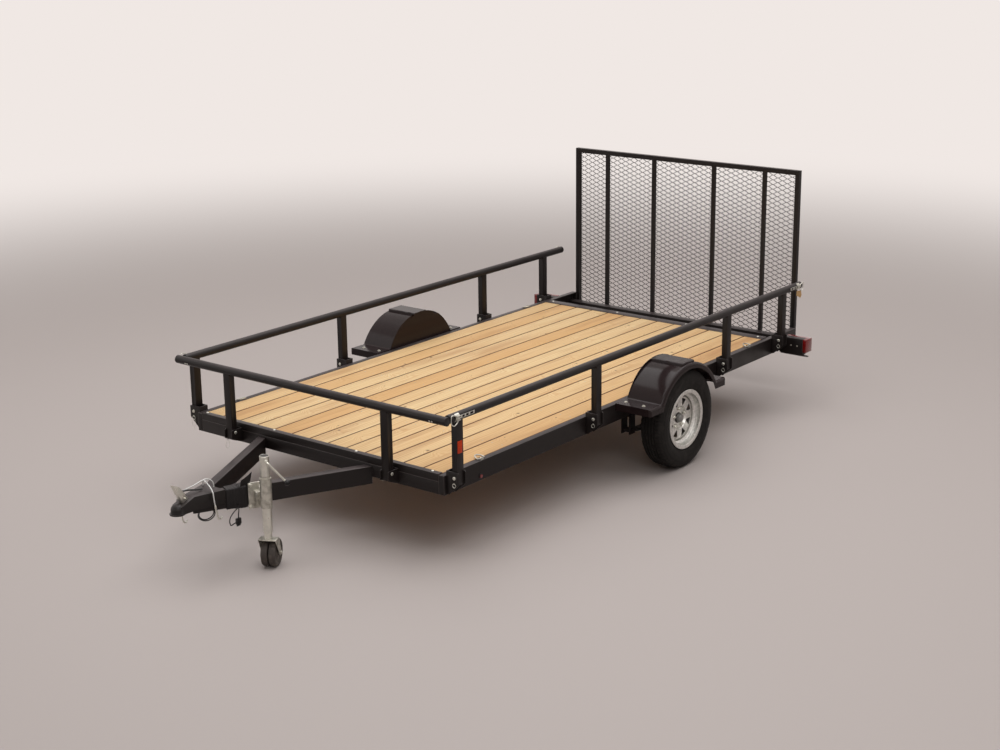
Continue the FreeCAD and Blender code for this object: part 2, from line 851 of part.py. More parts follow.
def rim(name):
    """The wheel: a rolled barrel and a dished disc with triangular holes between its spokes."""
    wall = s.rim_wall
    seat = s.rim_bead_half - wall
    inner_drop = rim_drop_radius - wall
    inner_seat = s.rim_seat_radius - wall
    barrel = turned(name + "_barrel", "X", [
        (s.rim_half, rim_radius), (s.rim_bead_half, rim_radius),
        (s.rim_bead_half, s.rim_seat_radius), (s.rim_drop_half + wall * 3, s.rim_seat_radius - wall / 2),
        (s.rim_drop_half, rim_drop_radius), (-s.rim_drop_half, rim_drop_radius),
        (-s.rim_drop_half - wall * 3, s.rim_seat_radius - wall / 2), (-s.rim_bead_half, s.rim_seat_radius),
        (-s.rim_bead_half, rim_radius), (-s.rim_half, rim_radius),
        (-s.rim_half, inner_seat), (-seat, inner_seat),
        (-s.rim_drop_half - wall * 3, inner_seat - wall / 2),
        (-s.rim_drop_half, inner_drop), (s.rim_drop_half, inner_drop),
        (s.rim_drop_half + wall * 3, inner_seat - wall / 2), (seat, inner_seat), (s.rim_half, inner_seat)],
        (track_half, axle_y, axle_z))
    raised = s.disc_seat + s.disc_rise
    disc = turned(name + "_disc", "X", [
        (s.disc_seat, s.disc_bore), (s.disc_seat, s.disc_seat_radius),
        (raised, s.disc_seat_radius + s.disc_step), (raised, disc_shoulder),
        (s.disc_seat, inner_drop), (s.disc_seat + s.disc_wall, inner_drop),
        (raised + s.disc_wall, disc_shoulder + wall / 2),
        (raised + s.disc_wall, s.disc_seat_radius + s.disc_step - wall / 2),
        (s.disc_seat + s.disc_wall, s.disc_seat_radius - wall / 2), (s.disc_seat + s.disc_wall, s.disc_bore)],
        (track_half, axle_y, axle_z))
    hole = document.addObject("PartDesign::Body", name + "_hole")
    hole_top = disc_shoulder - s.spoke_hole_margin
    outline = [
        (ZERO, s.disc_seat_radius + s.spoke_hole_inset), (s.spoke_hole_half, hole_top),
        (-s.spoke_hole_half, hole_top)]
    profile = sketch(hole, "YZ_Plane", outline)
    pad = hole.newObject("PartDesign::Pad", name + "_hole_pad")
    pad.Profile = profile
    bind(pad, "Length", s.rim_half)
    document.recompute()
    soft = hole.newObject("PartDesign::Fillet", name + "_hole_soft")
    upright = [
        "Edge" + str(number + 1) for number, edge in enumerate(pad.Shape.Edges)
        if abs(edge.tangentAt(edge.FirstParameter).x) > 0.9]
    soft.Base = (pad, upright)
    bind(soft, "Radius", s.disc_wall)
    hole.Tip = soft
    holes = []
    for index in range(int(s.spoke_hole_count.value)):
        angle = (index + 0.5) * 360.0 / s.spoke_hole_count.value
        copy = document.addObject("App::Link", name + "_hole" + str(index))
        copy.LinkedObject = hole
        copy.LinkTransform = False
        turn = FreeCAD.Rotation(FreeCAD.Vector(1, 0, 0), angle)
        place(copy, track_half, axle_y, axle_z, turn)
        holes.append(copy)
    pierced = cut(name + "_pierced", disc, *holes)
    return fuse(name, barrel, pierced)


def hub(name):
    """The hub with its flange, dust cap and wheel nuts, bored for the spindle."""
    blind = s.spindle_reach + axle_half - track_half + s.disc_wall
    outline = [
        (-s.hub_inner, s.spindle_radius + s.spindle_gap), (-s.hub_inner, s.hub_radius),
        (s.disc_seat - s.hub_flange_wall, s.hub_radius),
        (s.disc_seat - s.hub_flange_wall, s.hub_flange_radius),
        (s.disc_seat, s.hub_flange_radius), (s.disc_seat, s.hub_radius),
        (s.disc_seat + s.disc_wall * 2, s.hub_radius), (s.disc_seat + s.disc_wall * 2, s.hub_cap_radius),
        (s.hub_cap_end - s.disc_wall, s.hub_cap_radius),
        (s.hub_cap_end, s.hub_cap_radius - s.disc_wall, s.disc_wall), (s.hub_cap_end, ZERO),
        (blind, ZERO), (blind, s.spindle_radius + s.spindle_gap)]
    body = turned(name + "_body", "X", outline, (track_half, axle_y, axle_z))
    nuts = []
    for index in range(int(s.lug_count.value)):
        angle = math.radians(index * 360.0 / s.lug_count.value)
        start = (track_half + s.disc_seat + s.disc_wall, axle_y + s.lug_circle * math.sin(angle),
                 axle_z + s.lug_circle * math.cos(angle))
        nuts.append(cylinder(name + "_nut" + str(index), "X", start, s.lug_radius, s.lug_length))
    return group(name, [body] + nuts)


def fender(name):
    """A fender shell: an arch round the wheel between two flat flanges, with rounded outer edges."""
    x = s.beam_half
    top = frame_top + s.fender_step
    skirt = top - s.fender_skirt

    def shape(part, inset, low_x, width, bottom):
        deck = top - inset
        radius = fender_radius - inset
        bend = s.fender_bend + inset
        rise = deck - axle_z
        bend_y = root((radius + bend) * (radius + bend) - (rise + bend) * (rise + bend))
        share = radius / (radius + bend)
        foot_y, foot_z = bend_y * share, axle_z + (rise + bend) * share
        half = root(fender_radius * fender_radius - (top - axle_z) * (top - axle_z))
        fore = axle_y - half - s.fender_front_flange + inset
        aft = axle_y + half + s.fender_rear_flange - inset
        outline = [
            (fore, bottom), (aft, bottom), (aft, deck), (axle_y + bend_y, deck),
            (axle_y + foot_y, foot_z, bend), (axle_y - foot_y, foot_z, -radius),
            (axle_y - bend_y, deck, bend), (fore, deck)]
        body = prism(part, "X", outline, low_x, width)
        return rounded(body, width, s.fender_round - inset, lambda ends: any(
            abs(point.z - bottom.value) > TOUCH for point in ends))

    outer = shape(name + "_outer", ZERO, x, s.fender_width, skirt)
    wall = s.fender_wall
    hollow = shape(name + "_hollow", wall, x + wall, s.fender_width - wall * 2, skirt - s.overrun)
    arch = cylinder(
        name + "_arch", "X", (x + s.fender_width - wall * 2, axle_y, axle_z),
        fender_radius - s.fender_lip, s.overrun)
    return cut(name, outer, hollow, arch)


def bracket(name, x, y, along, pivot_z):
    """A folded bracket that holds a post between two ears.

    It is made for a beam's outer face at x, and turned for the front member.
    """
    half = s.post_width / 2 + s.bracket_gap
    wall = s.bracket_wall
    bottom = -s.bracket_drop if along == "Y" else -s.front_bracket_drop
    top = s.bracket_rise if along == "Y" else s.front_bracket_rise
    ear = [
        (ZERO, bottom), (s.bracket_foot, bottom), (s.bracket_ear, -s.bracket_shoulder),
        (s.bracket_ear, top - wall), (s.bracket_ear - wall, top), (ZERO, top)]
    parts = []
    for side, start in (("a", -half - wall), ("b", half)):
        parts.append(prism(name + "_ear_" + side, "Y", ear, start, wall))
    parts.append(box(name + "_web", (ZERO, -half, bottom), (wall, half, top)))
    folded = fuse(name + "_folded", *parts)
    bore = cylinder(
        name + "_bore", "Y", (s.post_offset, -half * 2, ZERO), s.pivot_radius + s.pivot_fit, half * 4)
    pin_bore = cylinder(
        name + "_pin_bore", "Y", (s.post_offset, -half * 2, -s.lock_pin_drop),
        s.lock_pin_radius + s.pivot_fit, half * 2)
    return stand(cut(name, folded, bore, pin_bore), x, y, pivot_z, along)


def stand(item, x, y, z, along):
    """Move a piece that was made at the pivot of a side bracket to its real place."""
    turn = FreeCAD.Rotation() if along == "Y" else FreeCAD.Rotation(FreeCAD.Vector(0, 0, 1), -90)
    return place(item, x, y, z, turn)


def pivot_bolt(name, x, y, along, pivot_z):
    """The bolt that a post turns on, with its head and nut."""
    reach = s.post_width / 2 + s.bracket_gap + s.bracket_wall
    head = s.pivot_head_depth
    shank = cylinder(name + "_shank", "Y", (s.post_offset, -reach, ZERO), s.pivot_radius, reach * 2)
    ends = [
        cylinder(name + "_head", "Y", (s.post_offset, -reach - head, ZERO), s.pivot_head, head),
        cylinder(name + "_nut", "Y", (s.post_offset, reach, ZERO), s.pivot_head, head)]
    return stand(fuse(name, shank, *ends), x, y, pivot_z, along)


def lock_pin(name, x, y, along, pivot_z):
    """The ringed pin through one ear under the bolt."""
    reach = s.post_width / 2 + s.bracket_gap
    head = s.bracket_wall + s.pivot_head_depth
    pin = cylinder(
        name + "_pin", "Y", (s.post_offset, -reach - head, -s.lock_pin_drop), s.lock_pin_radius, head)
    ring = document.addObject("Part::Torus", name + "_ring")
    bind(ring, "Radius1", s.ring_radius)
    bind(ring, "Radius2", s.ring_wire)
    turn = FreeCAD.Rotation(FreeCAD.Vector(1, 0, 0), 90)
    place(ring, s.post_offset, -reach - s.bracket_wall - s.ring_wire * 2,
          -s.lock_pin_drop - s.ring_radius, turn)
    return stand(fuse(name, pin, ring), x, y, pivot_z, along)


def post(name, x, y, along, pivot_z):
    """A rail post with a bore for its bolt, ending under the top rail."""
    half = s.post_thick / 2
    solid = box(
        name + "_bar", (s.post_offset - half, -s.post_width / 2, -s.post_tail),
        (s.post_offset + half, s.post_width / 2, rail_z - pivot_z))
    saddle = cylinder(
        name + "_saddle", "Y", (s.post_offset, -s.post_width, rail_z - pivot_z), s.rail_radius,
        s.post_width * 2)
    bore = cylinder(
        name + "_bore", "Y", (s.post_offset, -s.post_width, ZERO), s.pivot_radius + s.pivot_fit,
        s.post_width * 2)
    return stand(cut(name, solid, saddle, bore), x, y, pivot_z, along)


side_posts = [
    front + s.post_first, axle_y - s.post_before_axle, axle_y + s.post_after_axle, beam_end - s.post_last]
pivot_z = frame_top - s.pivot_drop
front_pivot_z = frame_top - s.front_pivot_drop
front_post_half = arm_outer + s.front_post_beside_arm
front_rail_half = s.beam_half + s.front_rail_over


def side_row(make, name):
    """The same piece at each post of the left rail."""
    return group(name, [
        make(name + str(index), s.beam_half, y, "Y", pivot_z) for index, y in enumerate(side_posts)])


def front_row(make, name):
    """The same piece at each post of the front rail."""
    return group(name, [
        make(name + str(index), front_post_half * sign, front, "X", front_pivot_z)
        for index, sign in enumerate((-1, 1))])


def rows(make, label):
    """The same small piece at every post."""
    left = side_row(make, label + "_left")
    right = mirror(left, label + "_right")
    return node(group(label, [left, right, front_row(make, label + "_front")]), label)


rail_x = s.beam_half + s.post_offset
front_rail_y = front - s.post_offset


rail_start = front_rail_y + s.rail_radius + s.rail_front_gap
rail_end = beam_end - s.rail_short


def side_rail(name):
    return cylinder(name, "Y", (rail_x, rail_start, rail_z), s.rail_radius, rail_end - rail_start)


def front_rail():
    return cylinder(
        "front_rail", "X", (-front_rail_half, front_rail_y, rail_z), s.rail_radius, front_rail_half * 2)


def latch(name, start):
    """A latch body seated on the outer side of the side rail."""
    block = box(
        name + "_block", (rail_x + s.latch_seat, start, rail_z - s.latch_half),
        (rail_x + s.rail_radius + s.latch_proud, start + s.latch_length, rail_z + s.latch_half))
    rail = cylinder(name + "_rail", "Y", (rail_x, start - s.overrun, rail_z), s.rail_radius,
                    s.latch_length + s.overrun * 2)
    return cut(name, block, rail)


def latches(name):
    """The latches at both ends of a side rail."""
    return group(name, [
        latch(name + "_front", rail_start + s.latch_start),
        latch(name + "_rear", rail_end - s.latch_start - s.latch_length)])


def gate_frame():
    """The gate's outer tubes and uprights, with the hinge pins at its foot."""
    tube = s.gate_tube
    outer = box("gate_outer", (-gate_half, gate_front, gate_bottom),
                (gate_half, gate_front + tube, gate_top))
    window = box(
        "gate_window", (-gate_half + tube, gate_front - s.overrun, gate_bottom + tube),
        (gate_half - tube, gate_front + tube + s.overrun, gate_top - tube))
    frame = cut("gate_ring", outer, window)
    uprights = []
    shares = (s.upright_a_share, s.upright_b_share, s.upright_c_share, s.upright_d_share)
    for index, share in enumerate(shares):
        x = gate_half * share
        half = s.upright_tube / 2
        uprights.append(box(
            "gate_upright" + str(index), (x - half, gate_front, gate_bottom + tube),
            (x + half, gate_front + s.upright_tube, gate_top - tube)))
    reach = gate_half + s.hinge_gap + s.hinge_wall
    pins = []
    for index, start in enumerate((-reach, gate_half - tube)):
        pins.append(cylinder(
            "gate_pin" + str(index), "X", (start, gate_middle, hinge_z), s.hinge_pin,
            reach - gate_half + tube))
    return fuse("gate_frame", frame, *uprights, *pins)


def gate_mesh():
    """Expanded mesh behind the uprights: a sheet with staggered diamond holes."""
    half = (gate_half - s.gate_tube).value
    low = (gate_bottom + s.gate_tube).value
    high = (gate_top - s.gate_tube).value
    long_pitch, short_pitch = s.mesh_long.value, s.mesh_short.value
    half_long = long_pitch / 2 - s.strand.value
    half_short = short_pitch / 2 - s.strand.value
    y = (gate_front + s.upright_tube).value

    def wire(corners):
        points = [FreeCAD.Vector(x, y, z) for x, z in corners]
        return Part.makePolygon(points + points[:1])

    columns = int(half / long_pitch * 2) + 2
    rows = int((high - low) / short_pitch * 2) + 2
    holes = []
    for row in range(rows):
        z = low + row * short_pitch / 2
        shift = long_pitch / 2 if row % 2 else 0.0
        for column in range(-columns, columns):
            x = column * long_pitch + shift
            inside = abs(x) + half_long < half - s.strand.value
            if inside and z - half_short > low + s.strand.value and z + half_short < high - s.strand.value:
                holes.append(wire([
                    (x - half_long, z), (x, z + half_short), (x + half_long, z), (x, z - half_short)]))
    rim_wire = wire([(-half, low), (half, low), (half, high), (-half, high)])
    sheet_face = Part.Face([rim_wire] + holes)
    item = document.addObject("Part::Feature", "gate_mesh")
    item.Shape = sheet_face.extrude(FreeCAD.Vector(0, s.mesh_thick.value, 0))
    return item


def gate_lug(name):
    """The lug on the beam's end that carries the gate's pin."""
    low_x = gate_half + s.hinge_gap
    plate = box(
        name + "_plate", (low_x, beam_end, hinge_z - s.hinge_height / 2),
        (low_x + s.hinge_wall, gate_middle + s.hinge_height / 2, hinge_z + s.hinge_height / 2))
    bore = cylinder(
        name + "_bore", "X", (low_x - s.overrun, gate_middle, hinge_z), s.hinge_pin + s.hinge_fit,
        s.overrun * 2 + s.hinge_wall)
    return cut(name, plate, bore)


lamp_y = beam_end - s.lamp_ahead
lamp_top = frame_top - s.lamp_drop


def tail_lamp_box(name):
    return box(name, (s.beam_half, lamp_y, lamp_top - s.lamp_height),
               (s.beam_half + s.lamp_width, lamp_y + s.lamp_depth, lamp_top))


def tail_lamp_lens(name):
    """The lens behind the box, wrapped round its outer side."""
    outer = s.beam_half + s.lamp_width
    top = lamp_top
    bottom = top - s.lens_height
    rear = box(
        name + "_rear", (outer - s.lens_width, lamp_y + s.lamp_depth, bottom),
        (outer + s.lens_side, lamp_y + s.lamp_depth + s.lens_depth, top))
    side = box(name + "_side", (outer, lamp_y, bottom), (outer + s.lens_side, lamp_y + s.lamp_depth, top))
    return fuse(name, rear, side)


def side_marker(name):
    return cylinder(
        name, "X", (s.beam_half, front + s.marker_back, frame_bottom + s.marker_rise), s.marker_radius,
        s.marker_depth)


def tie_down(name, y):
    """A flat plate on the beam's flange with a bent wire loop standing on it."""
    x = s.beam_half - s.beam_flange / 2
    half = s.tie_plate_width / 2
    plate = box(name + "_plate", (x - half / 2, y - s.tie_width / 2, frame_top),
                (x + half / 2, y + s.tie_width / 2, frame_top + s.tie_plate))
    ring = document.addObject("Part::Torus", name + "_ring")
    bind(ring, "Radius1", s.tie_width / 2 - s.tie_wire)
    bind(ring, "Radius2", s.tie_wire)
    place(ring, x, y, frame_top + s.tie_plate, FreeCAD.Rotation(FreeCAD.Vector(0, 1, 0), 90))
    clear = box(
        name + "_clear", (x - s.tie_width, y - s.tie_width, frame_top - s.tie_width * 2),
        (x + s.tie_width, y + s.tie_width, frame_top))
    return cut(name, fuse(name + "_whole", plate, ring), clear)


def tie_downs(name):
    return group(name, [
        tie_down(name + "_front", front + s.tie_front), tie_down(name + "_rear", beam_end - s.tie_last)])


# The jack stands beside the left arm, square to the arm's outer face
jack_y = front - s.tongue_reach + s.jack_from_tip
jack_x = arm_outer + (jack_y - front) * lean + s.jack_standoff / cosine(s.arm_angle)
swivel_z = (arm_top + arm_bottom) / 2
square = FreeCAD.Rotation(FreeCAD.Vector(0, 0, 1), -s.arm_angle.value)


def jack_mount():
    """The plate on the arm's side with the block and pin that the jack swivels on."""
    plate = box(
        "jack_mount_plate", (-s.jack_standoff, -s.mount_half, arm_bottom - s.mount_over),
        (s.swivel_wall - s.jack_standoff, s.mount_half, arm_top + s.mount_over))
    block = box(
        "jack_mount_block",
        (-s.jack_standoff, -s.mount_arm, swivel_z - s.mount_arm),
        (s.swivel_wall + s.mount_arm_reach - s.jack_standoff, s.mount_arm, swivel_z + s.mount_arm))
    face = s.jack_standoff - s.swivel_wall - s.mount_arm_reach
    flange = cylinder("jack_mount_flange", "X", (-face, ZERO, swivel_z), s.swivel_radius,
                      s.swivel_wall)
    pin = cylinder("jack_mount_pin", "X", (-face, ZERO, swivel_z), s.swivel_pin,
                   face - s.collar_radius - s.swivel_wall)
    return beside_arm(fuse("jack_mount", plate, block, flange, pin))


def beside_arm(item):
    """Move a piece that was made about the jack's axis, with the arm towards -X, to its real place."""
    return place(item, jack_x, jack_y, ZERO, square)


def jack_swivel():
    """The collar round the jack and its flange, which turns on the mount's pin."""
    face = s.jack_standoff - s.swivel_wall * 2 - s.mount_arm_reach - s.swivel_gap
    flange = cylinder("jack_swivel_flange", "X", (-face, ZERO, swivel_z), s.swivel_radius,
                      s.swivel_wall)
    neck = cylinder("jack_swivel_neck", "X", (-face, ZERO, swivel_z),
                    s.swivel_pin + s.swivel_wall, face)
    collar = cylinder("jack_swivel_collar", "Z", (ZERO, ZERO, swivel_z - s.collar_drop),
                      s.collar_radius, s.collar_drop + s.collar_rise)
    bore = cylinder("jack_swivel_bore", "X", (-face - s.overrun, ZERO, swivel_z),
                    s.swivel_pin + s.swivel_gap, face + s.overrun - s.collar_radius)
    tube = cylinder("jack_swivel_tube", "Z", (ZERO, ZERO, s.jack_bottom), s.jack_radius,
                    s.jack_top - s.jack_bottom)
    return beside_arm(cut("jack_swivel", fuse("jack_swivel_whole", flange, neck, collar), bore, tube))


def jack_tube():
    """The jack's outer tube, open below and capped above."""
    outer = cylinder("jack_tube_outer", "Z", (jack_x, jack_y, s.jack_bottom), s.jack_radius,
                     s.jack_top - s.jack_bottom)
    bore = cylinder("jack_tube_bore", "Z", (jack_x, jack_y, s.jack_bottom - s.overrun), s.jack_bore,
                    s.jack_top - s.jack_bottom - s.jack_cap + s.overrun)
    return cut("jack_tube", outer, bore)


def jack_crank():
    """The crank: a bent rod out of the tube with a knob on its handle."""
    crank_z = s.jack_top - s.crank_drop
    out = s.jack_radius + s.crank_shaft
    low = crank_z - s.crank_fall
    end = (out + s.crank_handle, s.crank_reach, low)
    rod = tube_along("jack_crank_rod", [
        (ZERO, ZERO, crank_z), (out, ZERO, crank_z), (out, s.crank_reach, low), end], s.crank_radius)
    knob = document.addObject("Part::Sphere", "jack_crank_knob")
    bind(knob, "Radius", s.knob_radius)
    place(knob, *end)
    tube = cylinder("jack_crank_tube", "Z", (ZERO, ZERO, s.jack_bottom), s.jack_radius,
                    s.jack_top - s.jack_bottom)
    return beside_arm(fuse("jack_crank", cut("jack_crank_shank", rod, tube), knob))


leg_bottom = s.caster_radius * 2 + s.fork_clear + s.fork_wall


def jack_leg():
    """The jack's inner tube."""
    outer = cylinder("jack_leg_outer", "Z", (jack_x, jack_y, leg_bottom), s.leg_radius, s.leg_length)
    bore = cylinder("jack_leg_bore", "Z", (jack_x, jack_y, leg_bottom + s.fork_wall),
                    s.leg_radius - s.leg_wall, s.leg_length)
    return cut("jack_leg", outer, bore)


def beside_leg(item):
    """Move a piece that was made about the leg's axis to its real place and turn."""
    turn = FreeCAD.Rotation(FreeCAD.Vector(0, 0, 1), s.caster_turn.value)
    return place(item, jack_x, jack_y, ZERO, turn)


def caster_fork():
    """The fork that turns under the leg, with a cheek outside each small wheel and their axle."""
    wheels_half = s.caster_space / 2 + s.caster_wheel
    inner = wheels_half + s.fork_gap
    outer = inner + s.fork_wall
    top = leg_bottom - s.leg_gap
    under = top - s.fork_wall
    plate = box("fork_plate", (-outer, -s.fork_front, under), (outer, s.fork_rear, top))
    centre = s.caster_radius
    cheek = [
        (-s.fork_front, top), (-s.fork_front, under),
        (s.caster_offset - s.caster_axle * 2, centre),
        (s.caster_offset - s.caster_axle, centre - s.caster_axle * 2),
        (s.caster_offset + s.caster_axle, centre - s.caster_axle * 2),
        (s.caster_offset + s.caster_axle * 2, centre), (s.fork_rear, under), (s.fork_rear, top)]
    cheeks = [
        prism("fork_cheek_a", "X", cheek, -outer, s.fork_wall),
        prism("fork_cheek_b", "X", cheek, inner, s.fork_wall)]
    reach = outer + s.caster_axle
    pin = cylinder("fork_axle", "X", (-reach, s.caster_offset, centre), s.caster_axle, reach * 2)
    return beside_leg(fuse("caster_fork", plate, *cheeks, pin))


def caster_wheels():
    """Two small wheels side by side on one axle."""
    wheels = []
    for index, start in enumerate((-s.caster_space / 2 - s.caster_wheel, s.caster_space / 2)):
        solid = cylinder("caster_wheel" + str(index), "X", (start, s.caster_offset, s.caster_radius),
                         s.caster_radius, s.caster_wheel)
        bore = cylinder("caster_bore" + str(index), "X",
                        (start - s.overrun, s.caster_offset, s.caster_radius),
                        s.caster_axle + s.pivot_fit, s.caster_wheel + s.overrun * 2)
        wheels.append(beside_leg(cut("caster_ring" + str(index), solid, bore)))
    return group("caster_wheels", wheels)


# The cables' and leads' own points, each one chosen by hand
NEAR_CABLE = [
    (-62, -2153.5, 428), (-62, -2153.5, 446), (-47, -2160, 460), (-20, -2170, 462), (12, -2183, 458),
    (46, -2197, 450), (74, -2207, 434), (80, -2209, 406), (78, -2204, 376), (75, -2196, 347)]
NEAR_HOOK = [(75, -2196, 347), (73, -2190, 325), (73, -2186, 302), (73, -2180, 280), (73, -2164, 272),
             (73, -2154, 286)]
FAR_CABLE = [
    (4, -2137.5, 428), (4, -2137.5, 450), (2, -2151, 470), (0, -2177, 484), (-3, -2209, 484),
    (-8, -2241, 474), (-12, -2273, 466), (-22, -2301, 460), (-38, -2325, 446), (-54, -2338, 420),
    (-62, -2338, 390), (-63, -2330, 361), (-61, -2320, 334)]
FAR_HOOK = [(-61, -2320, 334), (-59, -2313, 313), (-59, -2309, 290), (-59, -2303, 268), (-59, -2287, 260),
            (-59, -2277, 274)]
WIRING_LEAD = [(104, -2062, 313), (104, -2062, 296), (104, -2067, 276), (104, -2067.5, 257)]
WIRING_LOOP = [
    (111.8, -2074.5, 332), (127.1, -2082, 331), (136, -2104, 326), (137, -2130, 314), (134, -2150, 294),
    (130, -2156, 270), (122, -2144, 246), (112, -2128, 232), (104, -2103, 235), (104, -2084.5, 235)]


def cable_hooks():
    """The bent hooks at the cables' ends."""
    return group("cable_hooks", [
        tube_along("near_hook", NEAR_HOOK, s.hook_radius), tube_along("far_hook", FAR_HOOK, s.hook_radius)])


def wiring_sleeve():
    """The sleeve that holds the wiring on the left arm, between the coupler and the jack's mount."""
    wall = s.sleeve_wall
    inner = -s.jack_standoff - s.arm_width
    start = -s.sleeve_from - s.sleeve_length
    block = box(
        "wiring_sleeve_block", (inner - wall, start, arm_bottom - wall),
        (wall - s.jack_standoff, -s.sleeve_from, arm_top + wall))
    hollow = box(
        "wiring_sleeve_hollow", (inner, start - s.overrun, arm_bottom),
        (-s.jack_standoff, s.overrun - s.sleeve_from, arm_top))
    return beside_arm(cut("wiring_sleeve", block, hollow))


def wiring_plug():
    """The flat plug that hangs on its lead."""
    x, y, top = WIRING_LEAD[-1]
    back = WIRING_LOOP[-1][1]
    half = s.plug_width / 2
    return box("wiring_plug", (x - half, ZERO + back, top - s.plug_height),
               (x + half, back + s.plug_length, ZERO + top))


def cable_coil():
    """Loose turns of dark cable under the arms' tips, as one tilted ring."""
    ring = document.addObject("Part::Torus", "cable_coil")
    bind(ring, "Radius1", s.coil_radius)
    bind(ring, "Radius2", s.coil_bundle)
    height = arm_bottom - s.coil_gap - s.coil_bundle - s.coil_radius * sine(s.coil_tilt)
    axis = FreeCAD.Vector(math.cos(math.radians(s.arm_angle.value)), math.sin(math.radians(s.arm_angle.value)), 0)
    return place(ring, ZERO, front - s.coil_back, height, FreeCAD.Rotation(axis, s.coil_tilt.value))


def build():
    """Make every piece in turn."""
    pair(side_beam, "side_beam")
    node(front_channel(), "front_channel")
    node(board_cover("front_angle", front, s.front_cover, board_bottom, 1), "front_angle")
    node(board_cover("rear_angle", front + s.deck_length, s.rear_cover,
                     frame_top - s.rear_angle_drop, -1), "rear_angle")
    node(crossmembers(), "crossmembers")
    node(rear_bar(), "rear_bar")
    node(deck_boards(), "deck_boards")
    pair(tongue_arm, "tongue_arm")
    pressed, seat = coupler()
    node(pressed, "coupler")
    node(coupler_lever(seat), "coupler_lever")
    node(axle(), "axle")
    both(leaf_spring, "leaf_springs")
    both(spring_hangers, "spring_hangers")
    both(axle_clamp, "axle_clamps")
    pair(tyre, "tyre")
    pair(rim, "rim")
    pair(hub, "hub")
    pair(fender, "fender")
    both(lambda name: side_row(bracket, name), "side_brackets")
    node(front_row(bracket, "front_brackets"), "front_brackets")
    rows(pivot_bolt, "pivot_bolts")
    rows(lock_pin, "lock_pins")
    pair(lambda name: side_row(post, name), "side_posts")
    node(front_row(post, "front_posts"), "front_posts")
    pair(side_rail, "side_rail")
    pair(latches, "latches")
    node(front_rail(), "front_rail")
    node(gate_frame(), "gate_frame")
    node(gate_mesh(), "gate_mesh")
    both(gate_lug, "gate_lugs")
    both(tail_lamp_box, "tail_lamp_boxes")
    both(tail_lamp_lens, "tail_lamp_lenses")
    both(side_marker, "side_markers")
    both(tie_downs, "tie_downs")
    node(jack_mount(), "jack_mount")
    node(jack_swivel(), "jack_swivel")
    node(jack_tube(), "jack_tube")
    node(jack_crank(), "jack_crank")
    node(jack_leg(), "jack_leg")
    node(caster_fork(), "caster_fork")
    node(caster_wheels(), "caster_wheels")
    node(tube_along("cable_near", NEAR_CABLE, s.cable_radius), "cable_near")
    node(tube_along("cable_far", FAR_CABLE, s.cable_radius), "cable_far")
    node(cable_hooks(), "cable_hooks")
    node(cable_coil(), "cable_coil")
    node(wiring_sleeve(), "wiring_sleeve")
    node(tube_along("wiring_lead", WIRING_LEAD, s.lead_radius), "wiring_lead")
    node(tube_along("wiring_loop", WIRING_LOOP, s.lead_radius), "wiring_loop")
    node(wiring_plug(), "wiring_plug")


def check_and_write():
    """Stop on any failed object or shape, then write each piece to its own file."""
    document.recompute()
    for item in document.Objects:
        if "Invalid" in item.State or "Error" in item.State:
            raise RuntimeError(item.Name + " failed: " + str(item.State))
    for item in nodes:
        if item.Shape.isNull() or not item.Shape.isValid():
            raise RuntimeError(item.Label + " has no valid shape")
    os.makedirs("parts", exist_ok=True)
    for item in nodes:
        item.Shape.exportStep(os.path.join("parts", item.Label + ".step"))
    print(len(nodes), "pieces written")


build()
check_and_write()
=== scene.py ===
"""Looks of the utility trailer: its finishes, small fittings, cords, light and camera.

Everything is in metres in the CAD model's own frame. The hitch points to -Y, the gate to +Y and the
trailer's left side is +X. The origin lies on the ground below the middle of the trailer.
"""

from __future__ import annotations

import json
import logging
import math
from dataclasses import dataclass, field
from enum import Enum
from typing import Any, Callable, Iterable, Sequence

import bmesh
import bpy
from mathutils import Matrix, Vector, noise

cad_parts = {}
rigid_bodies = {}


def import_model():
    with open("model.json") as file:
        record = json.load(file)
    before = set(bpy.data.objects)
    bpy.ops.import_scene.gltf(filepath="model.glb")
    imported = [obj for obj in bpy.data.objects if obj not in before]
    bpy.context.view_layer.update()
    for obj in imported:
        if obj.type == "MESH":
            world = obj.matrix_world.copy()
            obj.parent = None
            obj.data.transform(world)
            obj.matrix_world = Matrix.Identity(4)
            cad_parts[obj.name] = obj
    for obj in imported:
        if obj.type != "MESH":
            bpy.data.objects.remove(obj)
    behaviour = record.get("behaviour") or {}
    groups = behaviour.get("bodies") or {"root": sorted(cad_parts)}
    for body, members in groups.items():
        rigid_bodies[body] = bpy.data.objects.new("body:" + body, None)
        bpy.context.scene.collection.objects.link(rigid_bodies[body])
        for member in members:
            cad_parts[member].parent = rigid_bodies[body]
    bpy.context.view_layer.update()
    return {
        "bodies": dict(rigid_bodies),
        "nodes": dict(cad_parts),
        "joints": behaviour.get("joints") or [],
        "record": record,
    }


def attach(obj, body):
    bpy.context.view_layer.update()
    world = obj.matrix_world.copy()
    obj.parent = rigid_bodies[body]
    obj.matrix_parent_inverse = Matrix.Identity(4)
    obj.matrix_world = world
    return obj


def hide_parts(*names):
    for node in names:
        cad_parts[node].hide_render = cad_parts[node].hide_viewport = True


LOG = logging.getLogger("trailer")
UP = Vector((0, 0, 1))
SIDES = (("left", 1), ("right", -1))
SHARP = math.radians(32)
Point = Sequence[float]
Outline = Sequence[tuple[float, float]]


# ---------------------------------------------------------------- finishes


